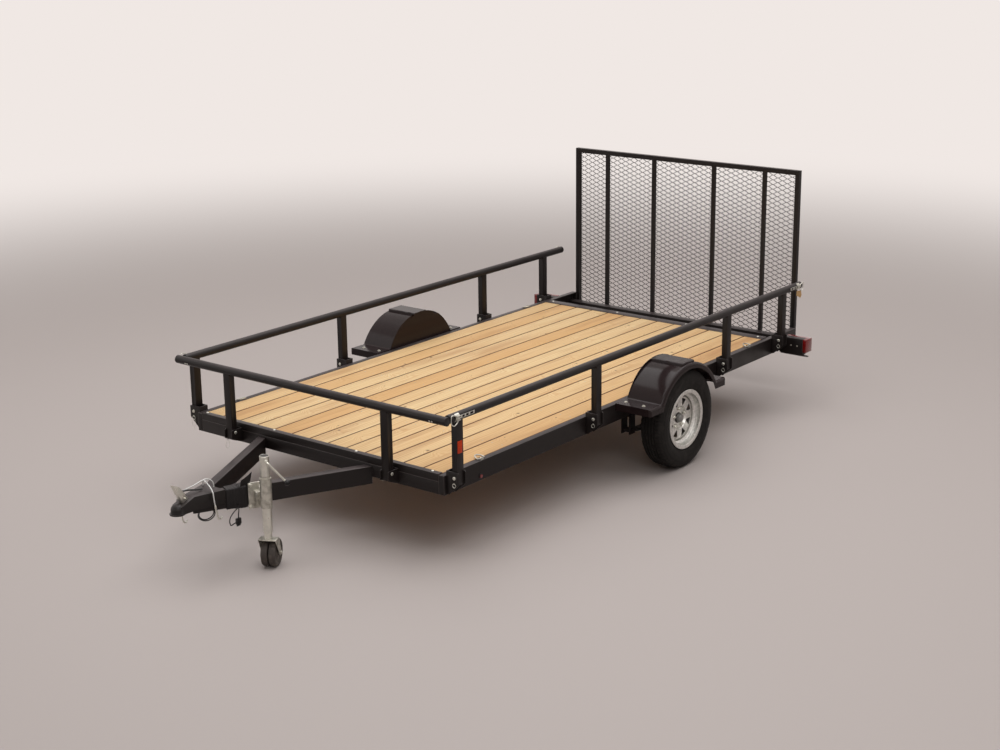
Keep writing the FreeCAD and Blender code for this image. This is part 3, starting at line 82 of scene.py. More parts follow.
def linear(colour: str, alpha: float = 1.0) -> tuple[float, float, float, float]:
    """Turn an sRGB hex colour into linear values.

    Args:
        colour: The colour as "#rrggbb".
        alpha: The fourth value.

    Returns:
        Red, green, blue and alpha in linear light.
    """
    parts = [int(colour[i:i + 2], 16) / 255 for i in (1, 3, 5)]
    values = [p / 12.92 if p <= 0.04045 else ((p + 0.055) / 1.055) ** 2.4 for p in parts]
    return values[0], values[1], values[2], alpha


def add(tree: bpy.types.NodeTree, kind: str, inputs: dict[Any, Any] | None = None,
        **settings: Any) -> bpy.types.Node:
    """Add a node with its settings, constants and links.

    Args:
        tree: The tree that the node goes in.
        kind: The node's type name.
        inputs: Constants or sockets, by the input's name or number.
        settings: The node's own properties.

    Returns:
        The new node.
    """
    node = tree.nodes.new(kind)
    for name, value in settings.items():
        setattr(node, name, value)
    for key, value in (inputs or {}).items():
        if isinstance(value, bpy.types.NodeSocket):
            tree.links.new(value, node.inputs[key])
        else:
            node.inputs[key].default_value = value
    return node


def maths(tree: bpy.types.NodeTree, operation: str, *values: Any) -> bpy.types.NodeSocket:
    """Give the result of a maths node on constants or sockets."""
    return add(tree, "ShaderNodeMath", dict(enumerate(values)), operation=operation).outputs[0]


def remap(tree: bpy.types.NodeTree, value: bpy.types.NodeSocket, given: tuple[Any, Any],
          wanted: tuple[Any, Any], kind: str = "LINEAR") -> bpy.types.NodeSocket:
    """Carry a value over from one range to another, held at its ends.

    Args:
        tree: The tree that the node goes in.
        value: The value.
        given: The range that it comes in.
        wanted: The range that it goes to.
        kind: How it runs between the ends.

    Returns:
        The new value.
    """
    ends = {0: value, 1: given[0], 2: given[1], 3: wanted[0], 4: wanted[1]}
    return add(tree, "ShaderNodeMapRange", ends, interpolation_type=kind).outputs[0]


def blend(tree: bpy.types.NodeTree, share: Any, first: Any, second: Any) -> bpy.types.NodeSocket:
    """Mix two colours, each given as "#rrggbb" or as a socket."""
    first, second = (linear(c) if isinstance(c, str) else c for c in (first, second))
    return add(tree, "ShaderNodeMix", {0: share, 6: first, 7: second}, data_type="RGBA").outputs[2]


def cloudy(tree: bpy.types.NodeTree, place: Any, scale: float, detail: float = 2.0) -> bpy.types.NodeSocket:
    """Give a soft random pattern with so many waves to the metre."""
    return add(tree, "ShaderNodeTexNoise", {"Vector": place, "Scale": scale, "Detail": detail}).outputs["Fac"]


def stretched(tree: bpy.types.NodeTree, place: Any, scale: Point = (1, 1, 1)) -> bpy.types.NodeSocket:
    """Scale coordinates by an amount for each direction."""
    return add(tree, "ShaderNodeMapping", {"Vector": place, "Scale": scale}).outputs[0]


def upward(tree: bpy.types.NodeTree) -> bpy.types.NodeSocket:
    """Give how far a face looks up."""
    normal = add(tree, "ShaderNodeNewGeometry").outputs["Normal"]
    return add(tree, "ShaderNodeSeparateXYZ", {0: normal}).outputs["Z"]


@dataclass(frozen=True)
class Finish:
    """One surface finish, started from the real material."""

    name: str
    colour: str
    roughness: float
    metallic: float = 0.0
    ior: float = 1.5

    def material(self) -> bpy.types.Material:
        """Build the procedural material.

        Returns:
            The material with its node tree.
        """
        made = bpy.data.materials.new(self.name)
        made.use_nodes = True
        made.diffuse_color = linear(self.colour)
        tree = made.node_tree
        shader = tree.nodes["Principled BSDF"]
        shader.inputs["Base Color"].default_value = linear(self.colour)
        shader.inputs["Roughness"].default_value = self.roughness
        shader.inputs["Metallic"].default_value = self.metallic
        if self.metallic < 0.5:
            shader.inputs["IOR"].default_value = self.ior
        self.dress(tree, shader)
        return made

    def dress(self, tree: bpy.types.NodeTree, shader: bpy.types.Node) -> None:
        """Add the finish's pattern, wear and bump to its shader."""

    def place(self, tree: bpy.types.NodeTree, scale: Point = (1, 1, 1)) -> bpy.types.NodeSocket:
        """Give the piece's own coordinates, stretched as asked."""
        return stretched(tree, add(tree, "ShaderNodeTexCoord").outputs["Object"], scale)

    def paint(self, tree: bpy.types.NodeTree, shader: bpy.types.Node, share: Any, other: str) -> None:
        """Colour the shader with the finish's colour and a share of another."""
        tree.links.new(blend(tree, share, self.colour, other), shader.inputs["Base Color"])

    def relief(self, tree: bpy.types.NodeTree, shader: bpy.types.Node, height: Any, strength: float,
               depth: float) -> None:
        """Bump the surface.

        Args:
            tree: The finish's tree.
            shader: Its shader.
            height: The pattern that stands up.
            strength: The share of the bump that is seen.
            depth: The bump's height in metres.
        """
        bump = add(tree, "ShaderNodeBump", {"Height": height, "Strength": strength, "Distance": depth})
        tree.links.new(bump.outputs[0], shader.inputs["Normal"])


@dataclass(frozen=True)
class PowderCoat(Finish):
    """Satin black powder coat on welded steel: sprayed and baked, with a fine orange peel.

    The eye gets a deep black whose upper faces catch the room, drawn as faint dust with a painted sheen on
    what faces up, and a peel that is really about 1 mm and is drawn at 5 mm so that it shows.
    """

    # lighter colour for dust and a painted sheen on faces that look up
    dust_and_sheen: str = "#5d5353"
    peel: float = 0.08
    dust_and_sheen_share: float = 0.55
    peel_depth: float = 0.0004

    def dress(self, tree: bpy.types.NodeTree, shader: bpy.types.Node) -> None:
        """Add dust with a painted sheen on upper faces, uneven gloss and orange peel.

        Args:
            tree: The finish's tree.
            shader: Its shader.
        """
        place = self.place(tree)
        cloud = cloudy(tree, place, 9.0, 5.0)
        # painted sheen: faces that look up are mixed towards a lighter colour, standing for dust and for the
        # light that upper faces catch
        up = remap(tree, upward(tree), (0.55, 1.0), (0.0, self.dust_and_sheen_share))
        patch = remap(tree, cloud, (0.35, 0.7), (0.35, 1.0))
        self.paint(tree, shader, maths(tree, "MULTIPLY", up, patch), self.dust_and_sheen)
        gloss = remap(tree, cloud, (0.3, 0.7), (self.roughness - 0.05, self.roughness + 0.06))
        tree.links.new(gloss, shader.inputs["Roughness"])
        self.relief(tree, shader, cloudy(tree, place, 260.0), self.peel, self.peel_depth)


@dataclass(frozen=True)
class PlatedSteel(Finish):
    """Zinc on steel, electroplated bright or hot-dip galvanised.

    The eye gets a pale grey metal. Galvanised sheet shows crystals of 5 to 10 mm, and plated fittings a
    faint cloudiness, dull patches and fine scratches.
    """

    dull: str = "#8f9290"
    crystal: float = 0.0
    soil: float = 0.25
    scratch: tuple[float, float, float] = (900, 60, 400)

    def dress(self, tree: bpy.types.NodeTree, shader: bpy.types.Node) -> None:
        """Add crystals or clouds, dull patches and light scratches.

        Args:
            tree: The finish's tree.
            shader: Its shader.
        """
        place = self.place(tree)
        cloud = cloudy(tree, place, 38.0, 6.0)
        mixed = remap(tree, cloud, (0.42, 0.72), (0.0, self.soil))
        if self.crystal > 0:
            cells = add(tree, "ShaderNodeTexVoronoi", {"Vector": place, "Scale": 1 / self.crystal})
            tone = add(tree, "ShaderNodeSeparateColor", {0: cells.outputs["Color"]}).outputs[0]
            mixed = maths(tree, "MULTIPLY_ADD", tone, 0.35, mixed)
        self.paint(tree, shader, mixed, self.dull)
        gloss = remap(tree, cloud, (0.3, 0.7), (self.roughness - 0.06, self.roughness + 0.12))
        tree.links.new(gloss, shader.inputs["Roughness"])
        self.relief(tree, shader, cloudy(tree, self.place(tree, self.scratch), 1.0), 0.05, 0.0003)


@dataclass(frozen=True)
class PineBoards(Finish):
    """Treated pine decking, planed and unpainted, with flat-sawn grain along the boards.

    The eye gets straw boards of differing tone with orange-brown late wood 6 to 10 mm apart, drawn out
    along the length, small dark knots of up to 35 mm and a few darker stained stretches.
    """

    late: str = "#c99158"
    pale: str = "#e9cd9c"
    stain: str = "#a56a3a"
    # the knots' colour, also used for the painted shade along each board's long edges
    knot_and_edge_shade: str = "#5a3318"
    pitch: float = 0.139846
    half: float = 0.909
    shift: float = 7.31
    knots: float = 3.3

    def dress(self, tree: bpy.types.NodeTree, shader: bpy.types.Node) -> None:
        """Add each board's own tone, its grain, knots and stains, and painted shade along its long edges.

        Args:
            tree: The finish's tree.
            shader: Its shader.
        """
        own = add(tree, "ShaderNodeTexCoord").outputs["Object"]
        x, y, z = add(tree, "ShaderNodeSeparateXYZ", {0: own}).outputs
        count = maths(tree, "DIVIDE", maths(tree, "ADD", x, self.half), self.pitch)
        board = maths(tree, "FLOOR", count)
        chance = add(tree, "ShaderNodeTexWhiteNoise", {"W": board}, noise_dimensions="1D").outputs[0]
        shift = maths(tree, "MULTIPLY", board, self.shift)
        along = maths(tree, "ADD", y, shift)
        spot = add(tree, "ShaderNodeCombineXYZ", {0: x, 1: along, 2: z}).outputs[0]

        knots = add(tree, "ShaderNodeTexVoronoi", {"Vector": spot, "Scale": self.knots},
                    voronoi_dimensions="2D")
        kept = add(tree, "ShaderNodeSeparateColor", {0: knots.outputs["Color"]}).outputs[0]
        size = remap(tree, kept, (0.35, 1.0), (0.0, 0.055))
        apart = knots.outputs["Distance"]
        near = remap(tree, apart, (0.0, size), (1.0, 0.0), "SMOOTHSTEP")
        swell = remap(tree, apart, (0.0, 0.28), (0.05, 0.0), "SMOOTHERSTEP")

        flow = maths(tree, "MULTIPLY", along, 0.045)
        bent = add(tree, "ShaderNodeCombineXYZ", {0: maths(tree, "ADD", x, swell), 1: flow, 2: shift})
        rings = add(tree, "ShaderNodeTexWave", {"Vector": bent.outputs[0], "Scale": 16.0, "Distortion": 7.0,
                                                "Detail": 3.0, "Detail Scale": 1.3}, bands_direction="X")
        late = remap(tree, rings.outputs["Fac"], (0.45, 1.0), (0.0, 0.42))
        fibre = cloudy(tree, stretched(tree, spot, (130, 3.5, 60)), 1.0, 4.0)
        wash = cloudy(tree, stretched(tree, spot, (9, 0.9, 9)), 1.0, 3.0)
        middle = maths(tree, "SUBTRACT", maths(tree, "FRACT", count), 0.5)
        # painted shade: each board darkens towards its long edges, standing for the shadow in the gap between
        # boards
        gap = remap(tree, maths(tree, "ABSOLUTE", middle), (0.450, 0.471), (0.0, 0.94))

        tone = blend(tree, chance, self.colour, self.pale)
        for share, colour in (
                (late, self.late), (remap(tree, fibre, (0.45, 0.8), (0.0, 0.4)), self.late),
                (remap(tree, wash, (0.52, 0.78), (0.0, 0.55)), self.stain), (near, self.knot_and_edge_shade),
                (gap, self.knot_and_edge_shade)):
            tone = blend(tree, share, tone, colour)
        tree.links.new(tone, shader.inputs["Base Color"])
        self.relief(tree, shader, fibre, 0.25, 0.0006)


@dataclass(frozen=True)
class Rubber(Finish):
    """Vulcanised black rubber, moulded, with dust in its low places and grey scuffs.

    The eye gets a flat dark grey that is never glossy and a fine pebble of about 1 mm, drawn at 3 mm.
    """

    scuff: str = "#57514d"
    wear: float = 0.25

    def dress(self, tree: bpy.types.NodeTree, shader: bpy.types.Node) -> None:
        """Add scuffs, dust and the moulded pebble.

        Args:
            tree: The finish's tree.
            shader: Its shader.
        """
        place = self.place(tree)
        rub = remap(tree, cloudy(tree, place, 26.0, 7.0), (0.5, 0.75), (0.0, self.wear))
        self.paint(tree, shader, rub, self.scuff)
        self.relief(tree, shader, cloudy(tree, place, 420.0), 0.2, 0.0004)


@dataclass(frozen=True)
class MouldedPlastic(Finish):
    """Injection-moulded ABS, nylon or vinyl: glossy fenders, knobs, caps, cable covers and tape.

    The eye gets a clean gloss with very slight unevenness of 20 to 40 mm and thin dust with a painted sheen
    above.
    """

    ripple: float = 0.1
    # lighter colour for dust and a painted sheen on faces that look up
    dust_and_sheen: str = "#5b5153"
    dust_and_sheen_share: float = 0.16

    def dress(self, tree: bpy.types.NodeTree, shader: bpy.types.Node) -> None:
        """Add the skin's unevenness and its dust with a painted sheen on upper faces.

        Args:
            tree: The finish's tree.
            shader: Its shader.
        """
        place = self.place(tree)
        # painted sheen: faces that look up are mixed towards a lighter colour, standing for dust and for the
        # light that upper faces catch
        up = remap(tree, upward(tree), (0.4, 1.0), (0.0, self.dust_and_sheen_share))
        dots = remap(tree, cloudy(tree, place, 140.0, 6.0), (0.45, 0.65), (0.3, 1.0))
        self.paint(tree, shader, maths(tree, "MULTIPLY", up, dots), self.dust_and_sheen)
        self.relief(tree, shader, cloudy(tree, place, 30.0, 3.0), self.ripple, 0.001)


@dataclass(frozen=True)
class Lens(Finish):
    """Moulded acrylic lens over a mirror of small prisms, drawn 4 mm across.

    The eye gets a saturated, slightly mottled colour behind a hard gloss.
    """

    deep: str = "#4a0504"
    prism: float = 0.004
    coat: float = 0.6

    def dress(self, tree: bpy.types.NodeTree, shader: bpy.types.Node) -> None:
        """Add the prisms under the clear face.

        Args:
            tree: The finish's tree.
            shader: Its shader.
        """
        cells = add(tree, "ShaderNodeTexVoronoi", {"Vector": self.place(tree), "Scale": 1 / self.prism})
        depth = remap(tree, cells.outputs["Distance"], (0.2, 0.7), (0.0, 0.6))
        self.paint(tree, shader, depth, self.deep)
        shader.inputs["Coat Weight"].default_value = self.coat


@dataclass(frozen=True)
class CoveredCable(Finish):
    """Laid wire rope in a clear vinyl cover.

    The eye gets a milky white tube with a slanting twist of about 9 mm just under the skin.
    """

    strand: str = "#d2d3d1"
    lay: float = 55.0

    def dress(self, tree: bpy.types.NodeTree, shader: bpy.types.Node) -> None:
        """Add the twist under the cover.

        Args:
            tree: The finish's tree.
            shader: Its shader.
        """
        lay = add(tree, "ShaderNodeTexWave", {"Vector": self.place(tree), "Scale": self.lay,
                                              "Distortion": 1.5}, bands_direction="DIAGONAL")
        self.paint(tree, shader, lay.outputs["Fac"], self.strand)


class Look(Enum):
    """The trailer's finishes."""

    FRAME = PowderCoat("satin_black_powder_coat", "#1c1716", 0.42, ior=1.32)
    FRAME_EDGE = PowderCoat("worn_powder_coat_edge", "#332c2a", 0.36, ior=1.4, dust_and_sheen="#74696a")
    COUPLER = PowderCoat("black_painted_pressed_steel", "#1b1716", 0.4, ior=1.36, peel=0.15)
    MESH = PowderCoat("black_coated_expanded_steel", "#171312", 0.5, ior=1.25)
    PINE = PineBoards("treated_pine_decking", "#d9ae76", 0.62)
    TYRE = Rubber("tyre_rubber", "#181513", 0.78, ior=1.3, wear=0.16)
    CASTER = Rubber("caster_rubber", "#3a332e", 0.7, wear=0.7, scuff="#776d63")
    GALVANISED = PlatedSteel("galvanised_wheel_steel", "#dcdad5", 0.34, 0.85, crystal=0.009)
    ZINC = PlatedSteel("bright_zinc_plate", "#d4d2c8", 0.32, 0.9)
    ZINC_WORN = PlatedSteel("worn_zinc_plate", "#bdbab0", 0.42, 0.9, dull="#77746a", soil=0.7)
    HUB = PlatedSteel("greased_cast_hub", "#3f3c3a", 0.5, 0.6, dull="#1f1d1c", soil=0.6)
    CAP = PlatedSteel("grey_dust_cap", "#8c8b89", 0.42, 0.6, dull="#6d6c6a", soil=0.4)
    FENDER = MouldedPlastic("glossy_black_abs", "#261c1c", 0.14, ior=1.25)
    BLACK_PLASTIC = MouldedPlastic("black_nylon", "#151313", 0.35, ior=1.4)
    KNOB = MouldedPlastic("black_phenolic_knob", "#0e0c0c", 0.2, ior=1.35)
    VINYL = MouldedPlastic("black_vinyl_cable", "#151313", 0.42, ior=1.4)
    TAPE = MouldedPlastic("black_vinyl_tape", "#171414", 0.5, ior=1.35, ripple=0.5)
    CABLE = CoveredCable("vinyl_covered_wire_rope", "#f6f4f0", 0.25)
    RED = Lens("red_acrylic", "#8f1414", 0.12)
    REFLECTOR = Lens("orange_red_acrylic", "#d8400f", 0.4, ior=1.3, deep="#a32c09", coat=0.0)
    TAG = MouldedPlastic("tan_plastic_tag", "#c9a06a", 0.5)


class Palette:
    """Builds each finish once and hands it out."""

    def __init__(self) -> None:
        """Start with no finish built."""
        self.made: dict[Look, bpy.types.Material] = {}

    def __getitem__(self, look: Look) -> bpy.types.Material:
        """Give a finish's material, built on first use.

        Args:
            look: The finish.

        Returns:
            Its material.
        """
        if look not in self.made:
            self.made[look] = look.value.material()
        return self.made[look]


# ---------------------------------------------------------------- mesh making


class Shape:
    """A mesh under construction, with the few solids that the trailer's fittings are made of."""

    def __init__(self) -> None:
        """Start an empty mesh."""
        self.bm = bmesh.new()

    def box(self, one: Point, other: Point, soft: float = 0.0) -> Shape:
        """Add a box with eased edges.

        Args:
            one: Any corner.
            other: The corner across from it.
            soft: The width of the eased edges.

        Returns:
            This shape.
        """
        low, high = (Vector(pick(pair) for pair in zip(one, other)) for pick in (min, max))
        made = bmesh.ops.create_cube(self.bm, size=1.0)["verts"]
        for vert in made:
            vert.co = Vector(a * b for a, b in zip(vert.co, high - low)) + (high + low) / 2
        if soft:
            edges = list({edge for vert in made for edge in vert.link_edges})
            bmesh.ops.bevel(self.bm, geom=edges, offset=soft, segments=2, profile=0.5, affect="EDGES",
                            clamp_overlap=True)
        return self

    def lathe(self, profile: Outline, centre: Point, axis: Vector, steps: int = 32,
              swell: Callable[[float, int], float] | None = None, closed: bool = False) -> Shape:
        """Turn a profile about an axis.

        Args:
            profile: Pairs of place along the axis and radius.
            centre: The origin of the profile's places.
            axis: The direction of the axis.
            steps: The number of steps round the axis.
            swell: What is added to a radius, from the angle and the profile's point number.
            closed: Whether the profile joins its own start.

        Returns:
            This shape.
        """
        turn = axis.normalized().to_track_quat("Z", "Y").to_matrix()
        rings = []
        for step in range(steps):
            angle = step * math.tau / steps
            ring = []
            for index, (along, radius) in enumerate(profile):
                wide = radius + (swell(angle, index) if swell else 0.0)
                local = Vector((wide * math.cos(angle), wide * math.sin(angle), along))
                ring.append(self.bm.verts.new(turn @ local + Vector(centre)))
            rings.append(ring)
        count = len(profile)
        for step in range(steps):
            here, there = rings[step], rings[(step + 1) % steps]
            for index in range(count if closed else count - 1):
                after = (index + 1) % count
                self.bm.faces.new((here[index], there[index], there[after], here[after]))
        if not closed:
            for index in (0, -1):
                if profile[index][1] > 1e-6:
                    self.bm.faces.new([ring[index] for ring in rings])
        bmesh.ops.remove_doubles(self.bm, verts=[v for ring in rings for v in ring], dist=1e-7)
        return self

    def rod(self, start: Point, end: Point, radius: float, steps: int = 16, soft: float = 0.0) -> Shape:
        """Add a round rod.

        Args:
            start: The middle of one end.
            end: The middle of the other end.
            radius: The rod's radius.
            steps: The number of steps round the rod.
            soft: The width of the eased ends.

        Returns:
            This shape.
        """
        axis = Vector(end) - Vector(start)
        length = axis.length
        profile = [(0, radius), (length, radius)]
        if soft:
            ease = [(0, radius - soft), (soft * 0.3, radius - soft * 0.3), (soft, radius)]
            profile = ease + [(length - along, wide) for along, wide in reversed(ease)]
        return self.lathe(profile, start, axis, steps)

    def hexagon(self, start: Point, axis: Vector, across: float, height: float) -> Shape:
        """Add a bolt head or nut with its corners chamfered, standing on a place along an axis."""
        half, low = across / math.sqrt(3), across / 2
        return self.lathe([(0, half), (height * 0.75, half), (height, low * 0.93)], start, axis, 6)

    def tube(self, points: Sequence[Point], radius: float, steps: int = 12, smooth: int = 0,
             closed: bool = False, flat: float = 1.0) -> Shape:
        """Sweep a round or flattened section along points.

        Args:
            points: The points that the middle follows.
            radius: The section's radius.
            steps: The number of steps round the section.
            smooth: How many times the points' corners are cut before the sweep.
            closed: Whether the path joins its start.
            flat: The section's height as a share of its width.

        Returns:
            This shape.
        """
        path = [Vector(p) for p in points]
        for _ in range(smooth):
            path = corner_cut(path, closed)
        count = len(path)
        rings = []
        side = None
        for index, point in enumerate(path):
            before = path[index - 1] if index or closed else point
            after = path[(index + 1) % count] if index < count - 1 or closed else point
            along = (after - before).normalized()
            if side is None:
                side = along.orthogonal().normalized()
                if abs(along.z) < 0.9:
                    side = along.cross(UP).normalized()
            side = (side - along * side.dot(along)).normalized()
            over = along.cross(side)
            rings.append([self.bm.verts.new(
                point + side * (radius * math.cos(a)) + over * (radius * flat * math.sin(a)))
                for a in (math.tau * k / steps for k in range(steps))])
        last = count if closed else count - 1
        for index in range(last):
            here, there = rings[index], rings[(index + 1) % count]
            for k in range(steps):
                self.bm.faces.new((here[k], here[(k + 1) % steps], there[(k + 1) % steps], there[k]))
        if not closed:
            self.bm.faces.new(rings[0])
            self.bm.faces.new(rings[-1])
        return self

    def slab(self, outline: Sequence[Point], thick: Vector, soft: float = 0.0) -> Shape:
        """Add a flat plate of any outline, pushed out to its thickness.

        Args:
            outline: The corners of its face.
            thick: Which way and how far it is pushed.
            soft: The width of the eased edges.

        Returns:
            This shape.
        """
        low = [self.bm.verts.new(Vector(p)) for p in outline]
        high = [self.bm.verts.new(Vector(p) + thick) for p in outline]
        count = len(low)
        faces = [self.bm.faces.new(low), self.bm.faces.new(high)]
        for k in range(count):
            after = (k + 1) % count
            faces.append(self.bm.faces.new((low[k], low[after], high[after], high[k])))
        if soft:
            edges = list({e for f in faces for e in f.edges})
            bmesh.ops.bevel(self.bm, geom=edges, offset=soft, segments=1, affect="EDGES")
        return self

    def piece(self, name: str, look: bpy.types.Material, angle: float = 35.0) -> bpy.types.Object:
        """Finish the mesh as an object with outward faces.

        Args:
            name: The object's name.
            look: Its material.
            angle: Edges that turn by more degrees than this stay sharp.

        Returns:
            The object, linked to the scene.
        """
        bmesh.ops.recalc_face_normals(self.bm, faces=self.bm.faces)
        mesh = bpy.data.meshes.new(name)
        self.bm.to_mesh(mesh)
        self.bm.free()
        mesh.materials.append(look)
        mesh.shade_smooth()
        mesh.set_sharp_from_angle(angle=math.radians(angle))
        return linked(name, mesh)


def linked(name: str, data: Any) -> bpy.types.Object:
    """Make an object of some data and link it to the scene.

    Args:
        name: The object's name.
        data: Its mesh, curve, lamp or camera.

    Returns:
        The object.
    """
    made = bpy.data.objects.new(name, data)
    bpy.context.scene.collection.objects.link(made)
    return made


def corner_cut(path: Sequence[Vector], closed: bool) -> list[Vector]:
    """Round a bent part's corners by cutting each one at its quarters.

    Args:
        path: The points of the part's middle line.
        closed: Whether the line joins its start.

    Returns:
        The points of the rounder line.
    """
    made = [] if closed else [path[0]]
    count = len(path)
    for index in range(count if closed else count - 1):
        a, b = path[index], path[(index + 1) % count]
        made += [a.lerp(b, 0.25), a.lerp(b, 0.75)]
    return made if closed else made + [path[-1]]


def hoop(middle: Vector, wide: Vector, high: Vector, steps: int = 20) -> list[Vector]:
    """Give the points of a ring from its middle and its two half widths."""
    return [middle + wide * math.cos(a) + high * math.sin(a)
            for a in (math.tau * k / steps for k in range(steps))]


# ---------------------------------------------------------------- geometry nodes


def start_tree(name: str, inputs: dict[str, str]) -> tuple[bpy.types.NodeTree, bpy.types.Node]:
    """Start a tree with named inputs and one geometry that it hands out.

    Args:
        name: The tree's name.
        inputs: Each input's name with its kind.

    Returns:
        The tree and the node that holds its inputs.
    """
    tree = bpy.data.node_groups.new(name, "GeometryNodeTree")
    for label, kind in inputs.items():
        tree.interface.new_socket(label, in_out="INPUT", socket_type="NodeSocket" + kind)
    tree.interface.new_socket("Made", in_out="OUTPUT", socket_type="NodeSocketGeometry")
    return tree, add(tree, "NodeGroupInput")


def end_tree(tree: bpy.types.NodeTree, copies: bpy.types.NodeSocket, finish: bpy.types.NodeSocket) -> None:
    """Make a tree's copies real, give them their finish and hand them out.

    Args:
        tree: The tree.
        copies: What it has made.
        finish: The input that holds the finish.
    """
    real = add(tree, "GeometryNodeRealizeInstances", {0: copies})
    done = add(tree, "GeometryNodeSetMaterial", {"Geometry": real.outputs[0], "Material": finish})
    add(tree, "NodeGroupOutput", {0: done.outputs[0]})


@dataclass
class Repeat:
    """A tree that sets a shape on points, each turned by its own attribute."""

    name: str
    seed: int = 7

    def tree(self) -> bpy.types.NodeTree:
        """Build the tree with named inputs for the shape, its size, its uneven turn and its finish.

        Returns:
            The node tree.
        """
        tree, start = start_tree(self.name, {
            "Points": "Geometry", "Shape": "Object", "Size": "Float", "Uneven Turn": "Float",
            "Finish": "Material"})
        given = start.outputs
        shape = add(tree, "GeometryNodeObjectInfo", {"Object": given["Shape"]})
        turn = add(tree, "GeometryNodeInputNamedAttribute", {"Name": "turn"}, data_type="FLOAT_VECTOR")
        chance = add(tree, "FunctionNodeRandomValue", {2: 0.0, 3: given["Uneven Turn"], "Seed": self.seed},
                     data_type="FLOAT")
        spin = add(tree, "ShaderNodeCombineXYZ", {2: chance.outputs[1]})
        put = add(tree, "GeometryNodeInstanceOnPoints", {
            "Points": given["Points"], "Instance": shape.outputs["Geometry"],
            "Rotation": turn.outputs[0], "Scale": given["Size"]})
        spun = add(tree, "GeometryNodeRotateInstances", {"Instances": put.outputs[0],
                                                         "Rotation": spin.outputs[0]})
        end_tree(tree, spun.outputs[0], given["Finish"])
        return tree


@dataclass
class ExpandedMetal:
    """The gate's mesh: rows of zigzag strands that meet at their knuckles."""

    across: float = 0.0735
    up: float = 0.0322
    columns: int = 99
    rows: int = 36
    strand: float = 0.0032
    thick: float = 0.0032

    def tree(self) -> bpy.types.NodeTree:
        """Build the tree with named inputs for the pitches, counts, strand and finish.

        A strand's line has four points to the pitch, two low and two high. Each second one is pulled
        back by an eighth of the pitch, which leaves a short flat knuckle and a long slope.

        Returns:
            The node tree.
        """
        tree, start = start_tree("expanded_metal", {
            "Corner": "Vector", "Pitch Across": "Float", "Pitch Up": "Float", "Columns": "Int",
            "Rows": "Int", "Strand Width": "Float", "Strand Thickness": "Float", "Finish": "Material"})
        given = start.outputs
        part = maths(tree, "MULTIPLY", given["Pitch Across"], 0.25)
        rise = maths(tree, "MULTIPLY", given["Pitch Up"], 0.5)
        step = add(tree, "ShaderNodeCombineXYZ", {0: part})
        line = add(tree, "GeometryNodeMeshLine", {"Count": given["Columns"], "Offset": step.outputs[0]})
        number = add(tree, "GeometryNodeInputIndex").outputs[0]
        odd = maths(tree, "GREATER_THAN", maths(tree, "MODULO", number, 4.0), 1.5)
        even = maths(tree, "SUBTRACT", 1.0, odd)
        short = maths(tree, "MULTIPLY", part, -0.5)
        pull = maths(tree, "MULTIPLY", maths(tree, "MODULO", number, 2.0), short)
        section = add(tree, "GeometryNodeCurvePrimitiveQuadrilateral", {
            "Width": given["Strand Width"], "Height": given["Strand Thickness"]})
        pair = add(tree, "GeometryNodeJoinGeometry")
        for phase, lift in ((odd, 0.0), (even, 1.0)):
            high = maths(tree, "MULTIPLY", maths(tree, "ADD", phase, lift), rise)
            offset = add(tree, "ShaderNodeCombineXYZ", {0: pull, 2: high})
            bent = add(tree, "GeometryNodeSetPosition", {0: line.outputs[0], "Offset": offset.outputs[0]})
            curve = add(tree, "GeometryNodeMeshToCurve", {0: bent.outputs[0]})
            strand = add(tree, "GeometryNodeCurveToMesh", {0: curve.outputs[0], 1: section.outputs[0],
                                                           "Fill Caps": True})
            tree.links.new(strand.outputs[0], pair.inputs[0])
        climb = add(tree, "ShaderNodeCombineXYZ", {2: given["Pitch Up"]})
        column = add(tree, "GeometryNodeMeshLine", {
            "Count": given["Rows"], "Start Location": given["Corner"], "Offset": climb.outputs[0]})
        put = add(tree, "GeometryNodeInstanceOnPoints", {"Points": column.outputs[0],
                                                         "Instance": pair.outputs[0]})
        end_tree(tree, put.outputs[0], given["Finish"])
        return tree


def evaluated(holder: bpy.types.Object, tree: bpy.types.NodeTree, values: dict[str, Any],
              name: str) -> bpy.types.Object:
    """Run a tree on a holder and keep the result as a plain mesh.

    Args:
        holder: The object that the tree runs on, which is removed.
        tree: The node tree.
        values: The tree's inputs by name.
        name: The new object's name.

    Returns:
        The new object, linked to the scene.
    """
    bpy.context.scene.collection.objects.link(holder)
    modifier = holder.modifiers.new("made", "NODES")
    modifier.node_group = tree
    for item in tree.interface.items_tree:
        if item.item_type == "SOCKET" and item.in_out == "INPUT" and item.name in values:
            modifier[item.identifier] = values[item.name]
    graph = bpy.context.evaluated_depsgraph_get()
    mesh = bpy.data.meshes.new_from_object(holder.evaluated_get(graph))
    bpy.data.objects.remove(holder)
    mesh.name = name
    return linked(name, mesh)


# ---------------------------------------------------------------- the trailer


@dataclass
class Trailer:
    """Places that the sub-assemblies share."""

    front: float = -1.3855
    beam_half: float = 0.946
    beam_flange: float = 0.037
    axle: tuple[float, float] = (0.63258, 0.305)
    rail_x: float = 1.001
    rail_y: float = -1.4405
    rail_z: float = 0.797
    rail_radius: float = 0.024
    posts: tuple[float, ...] = (-1.3355, -0.07742, 1.36958, 2.0845)
    front_posts: tuple[float, float] = (-0.6, 0.6)
    pivot_z: float = 0.463
    front_pivot_z: float = 0.432
    jack: tuple[float, float] = (0.27444, -2.0225)
    arm_angle: float = math.radians(26)

    def by_arm(self, x: float, y: float, z: float) -> Vector:
        """Give a place that is told from the jack's axis, square to the left arm."""
        turn = Matrix.Rotation(-self.arm_angle, 3, "Z")
        return turn @ Vector((x, y, 0)) + Vector((self.jack[0], self.jack[1], z))


